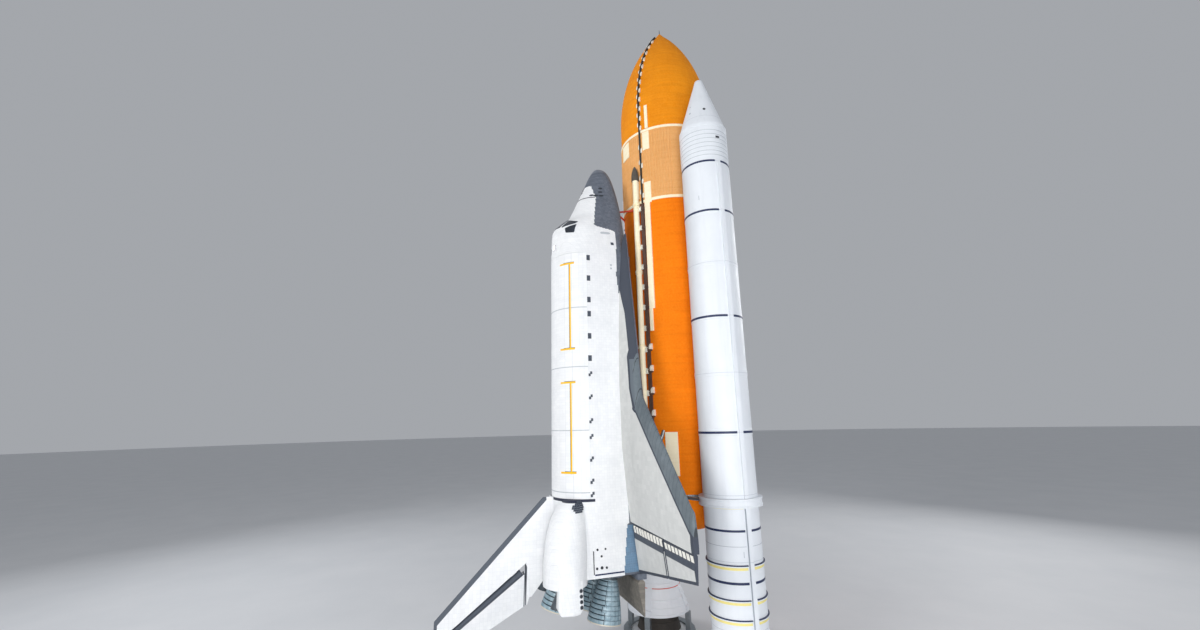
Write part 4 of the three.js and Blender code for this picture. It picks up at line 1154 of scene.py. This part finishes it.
def build_booster(side, name):
    cone = Shape(side)
    tip = [(0, 200), (4, 200.6), (7, 202), (9.8, 204), (11.5, 205.5), (13.2, 208), (CONE_RADIUS, CONE_TOP)]
    foot = CONE_END - SEAT
    cone.lathe(booster, [*tip, *outline(booster_radius, 230, foot, 8), (0, foot)])
    for place, radii, paint in (((343.7, 21), (4.2, 4.6), 2), ((347, 69), (3.2, 3.4), 1),
                                ((318, 74), (2.0, 3.0), 1)):
        cone.disc(booster_skin, place, radii, -0.5, 0.6, paint=paint)
    cone.stand_in(f"booster_nose_cone_{name}", [BOOSTER_WHITE, GREY_LINE, BLACK], "white_paint")

    skirt = Shape(side)
    foot = CASE_TOP - SEAT
    skirt.lathe(booster, [(0, CONE_END), (74, CONE_END), (74, 409), (CASE_RADIUS, 410), (CASE_RADIUS, foot),
                          (0, foot)])
    skirt.block(booster_box, (-84.1, -9, 430), (-60, 9, 454))
    for station in spread(422, 506, 6):
        skirt.lathe(booster, ring_profile(72.6, 1.3, station, 3.0))
        # a pale grey line just below each ring: painted shade under the ring
        skirt.lathe(booster, ring_profile(72.8, 0.5, station + 5, 1.0), paint=1)
    skirt.slab(booster_skin, (447, 453), (-9, 1), -0.3, 1.2, (1, 3), 2)
    skirt.disc(booster_skin, (490, -4), (5, 5), -0.3, 1.6)
    skirt.stand_in(f"booster_forward_skirt_{name}", [BOOSTER_WHITE, GREY_LINE, BLACK], "white_paint")
    build_motor(side, name)
    build_aft_skirt(side, name)
    build_booster_nozzle(side, name)


CASE_JOINTS = [CASE_SEAM + SEGMENT * k for k in range(1, 6)]
# station, half width and height of each navy stripe
STRIPES = ((531.5, 3.1, 0.5), (691.5, 3.1, 1.3), (1011.5, 3.1, 1.3), (1331.5, 3.1, 1.3), (1578, 2.8, 0.5),
           (1701, 3.0, 0.5))
STIFFENERS = (1661, 1741, 1786)
# station from and to, height and paint of the bands that make up a stiffener
STIFFENER_BANDS = ((-3.0, -0.4, 3.6, 1), (-0.4, 2.4, 3.4, 0), (2.4, 9.5, 0.6, 3))
# station and angle of the small dark marks
MARKS = ((648, 52), (1634, 14))


def build_motor(side, name):
    motor = Shape(side)
    profile = [(0, CASE_TOP), (CASE_RADIUS, CASE_TOP)]
    for joint in CASE_JOINTS:
        profile += [(CASE_RADIUS, joint - 9), (73.8, joint - 8), (73.8, joint + 8), (CASE_RADIUS, joint + 9)]
    profile += [(CASE_RADIUS, 1499.8), (72.4, 1499.9), (72.4, 1522.1), (CASE_RADIUS, 1522.2)]
    motor.lathe(booster, [*profile, (CASE_RADIUS, CASE_END), (0, CASE_END)], 128)
    motor.block(booster_box, (66, -5.5, 539), (78, 5.5, 1499.6))
    motor.block(booster_box, (66, -5.5, 1522.4), (78, 5.5, 1828))
    # a grey strip on the lower tunnel's side face: painted shade
    motor.block(booster_box, (68, 4.6, 1522.7), (77.4, 6.4, 1827.7), 2)

    bands = [(station - half, station + half, height, 1) for station, half, height in STRIPES]
    bands += [(station - 1.2, station + 1.2, 1.5, 0) for station in CASE_JOINTS[1::2]]
    bands.append((1614.4, 1615.6, 0.4, 2))
    bands += [(station + low, station + high, height, paint)
              for station in STIFFENERS for low, high, height, paint in STIFFENER_BANDS]
    bands.append((1522.4, 1524.6, 0.6, 3))
    for low, high, height, paint in bands:
        motor.slab(booster_skin, (low, high), (7.5, 352.5), -0.3, height, (1, 120), paint)
    for station, angle in MARKS:
        motor.slab(booster_skin, (station - 7, station + 7), (angle - 0.6, angle + 0.6), -0.3, 0.5, (1, 1), 2)
    motor.stand_in(f"booster_motor_case_{name}", [BOOSTER_WHITE, NAVY, PAINTED_SHADE_AND_MARK_GREY, CREAM_YELLOW],
                   "white_paint", bevel=0.25)

    ring = Shape(side)
    ring.lathe(clear_of_tank, [(72.5, 1500), (85, 1500), (85, 1504), (83, 1505), (83, 1517), (85, 1518),
                               (85, 1522), (72.5, 1522), (72.5, 1500)])
    ring.stand_in(f"booster_attach_ring_{name}", [BOOSTER_WHITE], "white_paint")


def build_aft_skirt(side, name):
    skirt = Shape(side)
    top = CASE_END + SEAT
    skirt.lathe(booster, [(70, top), (74.6, top), (74.6, SKIRT_TOP), (104.5, 1921.6), (106, 1922.6),
                          (106, 1930.6), (102.5, 1930.6), (102, 1922.6), (72, 1845), (70, top)])
    for station, paint in ((1851, 1), (1884, 0), (1906, 0)):
        skirt.lathe(booster, ring_profile(skirt_radius(station) - 0.4, 1.2, station, 1.4), paint=paint)
    for angle in (45, 135, 225, 315):
        skirt.slab(skirt_skin, (1850, 1921), (angle - 6, angle + 6), -0.5, 2.2, (2, 4))
        turn = Matrix.Rotation(angle * DEGREE, 3, "Z")
        skirt.block(partial(booster_turned, turn), (95, -10, 1910.6), (108, 10, 1930.6))
    for angle in (10, 22, 338, 350):
        skirt.disc(skirt_skin, (1900, angle), (6, 4), -0.5, 3.0, paint=2)
    skirt.stand_in(f"booster_aft_skirt_{name}", [BOOSTER_WHITE, RED_PAINT, BLACK], "white_paint", bevel=0.25)


def build_booster_nozzle(side, name):
    nozzle = Shape(side)
    top = CASE_END + 2 * (16 + SEAT)  # below the case's end plate and the bearing, 16 each
    bell = Curve([(top + 10, 33), (top + 35, 45), (top + 72, 60), (NOZZLE_END, 74.8)])
    inside = Curve([(top + 17, 28), (top + 38, 42), (top + 74, 57.5), (NOZZLE_END, 72.2)])
    nozzle.lathe(booster, [(0, top), (31, top), *outline(bell, top + 10, NOZZLE_END, 16),
                           *outline(inside, NOZZLE_END, top + 17, 16), (0, top + 17)])
    for station in (1925, 1960):
        nozzle.lathe(booster, ring_profile(bell(station) - 0.5, 1.6, station, 1.5))
    nozzle.stand_in(f"booster_nozzle_{name}", [LINER], "dark_liner", body=f"booster_nozzle_{name}")


# The orbiter

HATCH = (506, 362)  # station and height of the hatch's middle


def closed_body(shape, start, end, count):
    """A stretch of the forward fuselage's skin with both its ends closed."""
    angles = spread(0, 360, 96)[:-1]
    rows = [[forward_skin(x, a) for a in angles] for x in spread(start, end, count)]
    centres = [sum(row, Vector()) / len(row) for row in (rows[0], rows[-1])]
    rows = [[centres[0]] * len(angles), *rows, [centres[1]] * len(angles)]
    shape.sheet(rows, around=True)


def drum(radius, low, high):
    """A round cutter across the orbiter at its hatch."""
    shape = Shape()
    shape.tube([orbiter(HATCH[0], y, HATCH[1]) for y in (low, high)], radius, 64)
    mesh = bpy.data.meshes.new("cutter")
    mesh.from_pydata(shape.points, [], shape.faces)
    turn_outwards(mesh)
    return put_in_scene("cutter", mesh)


def build_forward_fuselage():
    cap = Shape()
    closed_body(cap, 238, 262 - 0.3, 16)
    cap.stand_in("nose_cap", [NOSE_CARBON], "carbon_grey")

    body = Shape()
    closed_body(body, 262, FORWARD_END - SEAT, 80)
    skin = body.stand_in("forward_fuselage", [BODY_SKIN], "white_tile")
    carve(skin, drum(20, -140, -90 + SEAT))
    carve(skin, drum(17, -95, -53))

    door = Shape()
    closed_body(door, 470, 545, 24)
    hatch = door.stand_in("crew_hatch", [BODY_SKIN], "white_tile", body="crew_hatch")
    carve(hatch, drum(19.5, -140, -90), "INTERSECT")
    port = Shape(-1)
    port.disc(forward_skin, (HATCH[0], 0), (5, 3.6), -0.6, 0.5, paint=1)
    port.disc(forward_skin, (HATCH[0], 0), (3.6, 2.6), -0.6, 0.7)
    port.make("hatch_window", [GLASS, GREY_LINE], "carbon_grey", body="crew_hatch")


# four corners of each pane on the right: station and angle
PANES = (
    ((452, 67), (449, 87), (480, 87), (482, 68)),
    ((467, 40), (457, 62), (484, 62), (475, 42)),
    ((479, 37.5), (490, 54), (506.5, 51.5), (508, 38)),
    ((540, 74), (540, 83), (556, 83), (556, 74)),
)
# station and angle of each forward thruster that fires sideways or up
SIDE_JETS = ((330, 22), (345, 22), (359, 31), (357, 41.5), (360, 20))


def build_windows(side, name):
    panes = Shape(side)
    for corners in PANES:
        panes.button(forward_skin, corners, -1.2, 0.7, power=9, paint=1, count=64, reach=1.08)
        panes.button(forward_skin, corners, -1.2, 1.1, power=9, count=64, reach=0.98)
    panes.make(f"windows_{name}", [GLASS, DARK_PLATE], "carbon_grey")

    jets = Shape(side)
    for spot in SIDE_JETS:
        jets.disc(forward_skin, spot, (3.4, 5.6), -0.6, 0.7, paint=1)
        jets.disc(forward_skin, spot, (2.6, 4.7), -0.6, 1.0)
    for x in (318, 327, 336):
        jets.disc(forward_skin, (x, 84), (3.2, 3.4), -0.6, 0.8)
    jets.slab(forward_skin, (364.2, 366.8), (32, 89.6), -0.5, 0.5, (1, 14))
    jets.disc(forward_skin, (508, -0.5), (4, 3), -0.6, 0.5, paint=2)
    jets.slab(forward_skin, (540, 549), (-6.5, -3.5), -0.5, 0.4, (2, 2), 1)
    jets.make(f"forward_jets_{name}", [BLACK, DARK_PLATE, GREY_LINE], "carbon_grey")


# stations of the dark plates under the door's sill: large ones and pairs of small ones
LARGE_PLATES = (600, 666, 734, 778, 846, 913)
PAIRED_PLATES = (959, 1026, 1094, 1138, 1200, 1260, 1295)


def build_side_details(side, name):
    plates = Shape(side)
    for x in LARGE_PLATES:
        plates.slab(side_skin, (x - 8.5, x + 8.5), (406, 416.6), -1.5, 0.4)
    for x in PAIRED_PLATES:
        plates.slab(side_skin, (x - 7, x + 1), (405.5, 412), -1.5, 0.4)
        plates.slab(side_skin, (x - 1, x + 7), (410.5, 416.6), -1.5, 0.4)
    for x in (618, 629):
        plates.disc(side_skin, (x, 337), (3.4, 3.4), -0.3, 0.4, paint=1)
    plates.make(f"sill_plates_{name}", [DARK_PLATE, GREY_LINE], "dark_tile", bevel=0.2)

    lines = Shape(side)
    for low, high in ((613, 886), (980, 1240)):
        lines.slab(door_skin, (low, high), (38.0, 40.4), -0.3, 0.45, (10, 1))
        lines.slab(door_skin, (low, high), (40.4, 41.2), -0.3, 0.4, (10, 1), 1)
        for x in (low, high - 5.5):
            lines.slab(door_skin, (x, x + 5), (31, 60), -0.3, 0.5, (1, 12))
            lines.slab(door_skin, (x - 1.4, x), (31, 52), -0.3, 0.4, (1, 10), 1)
    lines.make(f"door_lines_{name}", [YELLOW, BLACK], "white_tile", body=f"payload_door_{name}")

    seams = Shape(side)
    for x in (757, 937, 1120, 1290):
        seams.slab(door_skin, (x - 1.3, x + 1.3), (9, 89.7), -0.3, 0.25, (1, 40))
    seams.make(f"door_seams_{name}", [GREY_LINE], "white_tile", body=f"payload_door_{name}")


# station, height and radius of each small port in the side below the pod
SIDE_PORTS = ((1437, 403, 3), (1437, 380, 2.6), (1454, 392, 3), (1483.5, 406, 3.2), (1482.5, 392, 4),
              (1483.5, 378.4, 3.2))


def build_pod_details(side, name):
    """Dark tiles in a patch without corners at the pod's front, and the small ports of pod and side."""
    patch = Shape(side)
    size, turn = 5.0, 8.2
    for i in range(6):
        for k in range(8):
            x = 1309.2 + i * size
            angle = -53 + k * turn
            if abs(i - 2.5) / 3.4 + abs(k - 3.5) / 4.6 < 1.12:
                patch.slab(pod_skin, (x, x + size - 0.4), (angle, angle + turn - 0.5), -0.4, 0.7)
    patch.make(f"pod_dark_tiles_{name}", [DARK_PLATE], "dark_tile")

    jets = Shape(side)
    for x in (1523.5, 1536, 1548.5, 1561):
        jets.disc(housing_skin, (x, 460), (5.2, 5.2), -0.5, 0.9, paint=1)
        jets.disc(housing_skin, (x, 460), (4.3, 4.3), -0.5, 1.2)
    for x, z, radius in SIDE_PORTS:
        jets.disc(side_skin, (x, z), (radius, radius), -0.8, 0.8)
    jets.slab(side_skin, (1440, 1498), (413.2, 415.6), -0.4, 0.3)
    jets.slab(side_skin, (1496.8, 1500.6), (328, 412), -0.4, 0.5, (1, 6), 2)
    jets.make(f"aft_ports_{name}", [BLACK, GREY_LINE, NAVY], "carbon_grey")


PLATE_FRONT = 1382
# span from and to of each elevon's rub plates, span of the seal towards the other elevon, stations on a plate
HINGE_PLATES = {
    "inboard": ((121, 308), (305.2, 308.8), (PLATE_FRONT, 1383.5, 1385, 1388, 1399)),
    "outboard": ((316, 461), (315.2, 318.8), (1385.4, 1386, 1387, 1389, 1399)),
}
PLATE_SLANT = 3.0 / 17  # how far a plate leans outboard for each inch aft
PLATE_DEPTH = 0.9


def build_hinge_plates(side, name):
    """The rub plates over each elevon's hinge, with slanted gaps between them, and the dark seal behind."""
    down = Vector((0, PLATE_DEPTH * INCH, 0))
    for place, ((low, high), gap, stations) in HINGE_PLATES.items():
        plates = Shape(side)
        count = round((high - low) / 18)
        step = (high - low) / count
        for k in range(count):
            rows = []
            for x in stations:
                start = low + k * step + PLATE_SLANT * (x - PLATE_FRONT)
                ends = [min(start + at, high) for at in (2.4, step - 2.4)]
                rows.append([raised(elevon_skin, y, x, 0.1) for y in ends])
            rows += [[point + down for point in row] for row in rows[::-1]]
            plates.sheet(rows + rows[:1])
            plates.add([row[0] for row in rows], [tuple(range(10))])
            plates.add([row[1] for row in rows], [tuple(range(10))[::-1]])
        plates.slab(elevon_skin, (low, high), (1400.5, 1415.5), -0.4, 0.4, (4, 3), 1)
        plates.slab(elevon_skin, gap, (1400, wing_trail(312) - 3), -0.4, 0.9, (1, 8), 1)
        plates.make(f"hinge_plates_{place}_{name}", [RUB_WHITE, DARK_PLATE], "white_tile",
                    body=f"elevon_{place}_{name}")


# name, gimbal station, span and height, and the tilts back and outwards
ENGINES = (
    ("upper", 1445, 0, 443, 16, 0),
    ("right", 1468, 53, 342.6, 10, 3.5),
    ("left", 1468, -53, 342.6, 10, -3.5),
)
POD_ENGINE = (1520, 88, 492, 15.8, 6.5)  # on the right


def thrust_frame(x, y, z, pitch, yaw):
    """Turns the distance along an engine, the angle and the radius into a place on the orbiter."""
    p, w = pitch * DEGREE, yaw * DEGREE
    ahead = Vector((math.cos(p) * math.cos(w), math.cos(p) * math.sin(w), math.sin(p)))
    side = Vector((0, 0, 1)).cross(ahead).normalized()
    top = ahead.cross(side)

    def place(distance, angle, radius):
        a = angle * DEGREE
        spot = Vector((x, y, z)) + ahead * distance + (side * math.cos(a) + top * math.sin(a)) * radius
        return orbiter(*spot)
    return place


def build_main_engine(name, *hang):
    """A dome, the bell with raised rims between its bands, and the bell's inside."""
    def sphere(radius, start, end):
        return [(radius * math.sin(a * DEGREE), radius * math.cos(a * DEGREE)) for a in spread(start, end, 8)]

    def rimmed(s):
        return bell(s) + 0.5 * math.sin((s - BAND_TOP) / BAND_STEP * math.pi) ** 2

    bell = Curve([(62, 24), (75, 28.4), (87, 31.6), (102, 35.6), (118, 39), (142, 43.6), (168, 47)])
    inside = Curve([(87, 27), (118, 36.8), (168, 45.4)])
    engine = Shape()
    engine.lathe(thrust_frame(*hang), [
        (0, 5 + SEAT), (8, 5 + SEAT), (9, 45), *sphere(58, 12, 42), *sphere(60, 42, 24),
        *outline(rimmed, 62, 165.5, 92), (47, 165.5), (47, 168), *outline(inside, 168, 87, 12),
        (12, 62), (0, 57)])
    engine.stand_in(f"main_engine_{name}", [BELL], "bell_metal", body=f"main_engine_{name}")


def build_pod_engine(side, name):
    place = thrust_frame(*POD_ENGINE)
    bell = Curve([(8, 11), (22, 15), (42, 19), (60, 21.6)])
    inside = Curve([(12, 6), (22, 13), (42, 18), (60, 20.6)])
    engine = Shape(side)
    engine.lathe(place, [(0, SEAT), (13, SEAT), *outline(bell, 8, 60, 14), *outline(inside, 60, 12, 12),
                         (0, 12)], 64)
    engine.lathe(place, ring_profile(21.3, 0.6, 58.5, 1.2), 64)
    engine.stand_in(f"oms_engine_{name}", [BELL], "bell_metal")


# The setting

# name, place, the point it aims at, size, power and tint of each light
LIGHTS = (
    ("key", (22, -40, 24), (0, 0, 15), 16, 8400, (1.0, 0.985, 0.96)),
    ("low", (30, -8, 7), (0, 2, 5), 12, 4300, (1.0, 1.0, 1.0)),
    ("fill", (36, 12, 14), (0, 2, 9), 14, 1800, (0.93, 0.96, 1.0)),
    ("back", (-26, -24, 26), (0, 0, 14), 16, 4500, (0.95, 0.97, 1.0)),
    ("rear", (-10, 40, 24), (0, 0, 14), 20, 5000, (1.0, 1.0, 1.0)),
)
SKY = (0.74, 0.77, 0.82, 1)
SKY_STRENGTH = 0.5
FLOOR_RINGS = (0, 12, 40, 120, 400)

# where the camera stands, its turn, upward tilt and roll in degrees, and its lens and sensor in millimetres
EYE = (18.672, -6.277, 8.910)
EYE_YAW = 70.894
EYE_PITCH = 12.486
EYE_ROLL = -1.368
LENS = 14.606
SENSOR = 36


def area_light(name, place, aim, size, power, tint):
    light = bpy.data.lights.new(name, "AREA")
    light.shape = "DISK"
    light.size = size
    light.energy = power
    light.color = tint
    lamp = put_in_scene(name, light)
    lamp.location = place
    lamp.rotation_mode = "QUATERNION"
    lamp.rotation_quaternion = (Vector(aim) - Vector(place)).to_track_quat("-Z", "Y")


def build_setting():
    floor = Shape()
    turns = [angle * DEGREE for angle in spread(0, 360, 72)[:-1]]
    floor.sheet([[Vector((r * math.cos(a), r * math.sin(a), 0)) for a in turns] for r in FLOOR_RINGS],
                around=True)
    mesh = bpy.data.meshes.new("floor")
    mesh.from_pydata(floor.points, [], floor.faces)
    mesh.materials.append(FLOOR)
    ground = put_in_scene("floor", mesh)

    world = bpy.data.worlds.new("studio")
    bpy.context.scene.world = world
    world.use_nodes = True
    background = world.node_tree.nodes["Background"]
    background.inputs["Color"].default_value = SKY
    background.inputs["Strength"].default_value = SKY_STRENGTH
    bpy.context.scene.view_settings.view_transform = "Standard"
    for light in LIGHTS:
        area_light(*light)


def build_camera():
    yaw, pitch, roll = EYE_YAW * DEGREE, EYE_PITCH * DEGREE, EYE_ROLL * DEGREE
    ahead = Vector((-math.sin(yaw) * math.cos(pitch), math.cos(yaw) * math.cos(pitch), math.sin(pitch)))
    right = ahead.cross(Vector((0, 0, 1))).normalized()
    top = right.cross(ahead)
    level = right * math.cos(roll) + top * math.sin(roll)
    upright = top * math.cos(roll) - right * math.sin(roll)
    data = bpy.data.cameras.new("camera")
    data.lens = LENS
    data.sensor_width = SENSOR
    data.clip_start = 0.1
    data.clip_end = 900
    camera = put_in_scene("camera", data)
    turn = Matrix((level, upright, -ahead)).transposed()
    camera.matrix_world = Matrix.Translation(EYE) @ turn.to_4x4()
    bpy.context.scene.camera = camera


build_tank()
build_feedline()
for side, name in SIDES:
    build_booster(side, name)
build_forward_fuselage()
for side, name in SIDES:
    build_windows(side, name)
for side, name in SIDES:
    build_side_details(side, name)
    build_pod_details(side, name)
    build_hinge_plates(side, name)
for engine in ENGINES:
    build_main_engine(*engine)
for side, name in SIDES:
    build_pod_engine(side, name)
build_setting()
build_camera()
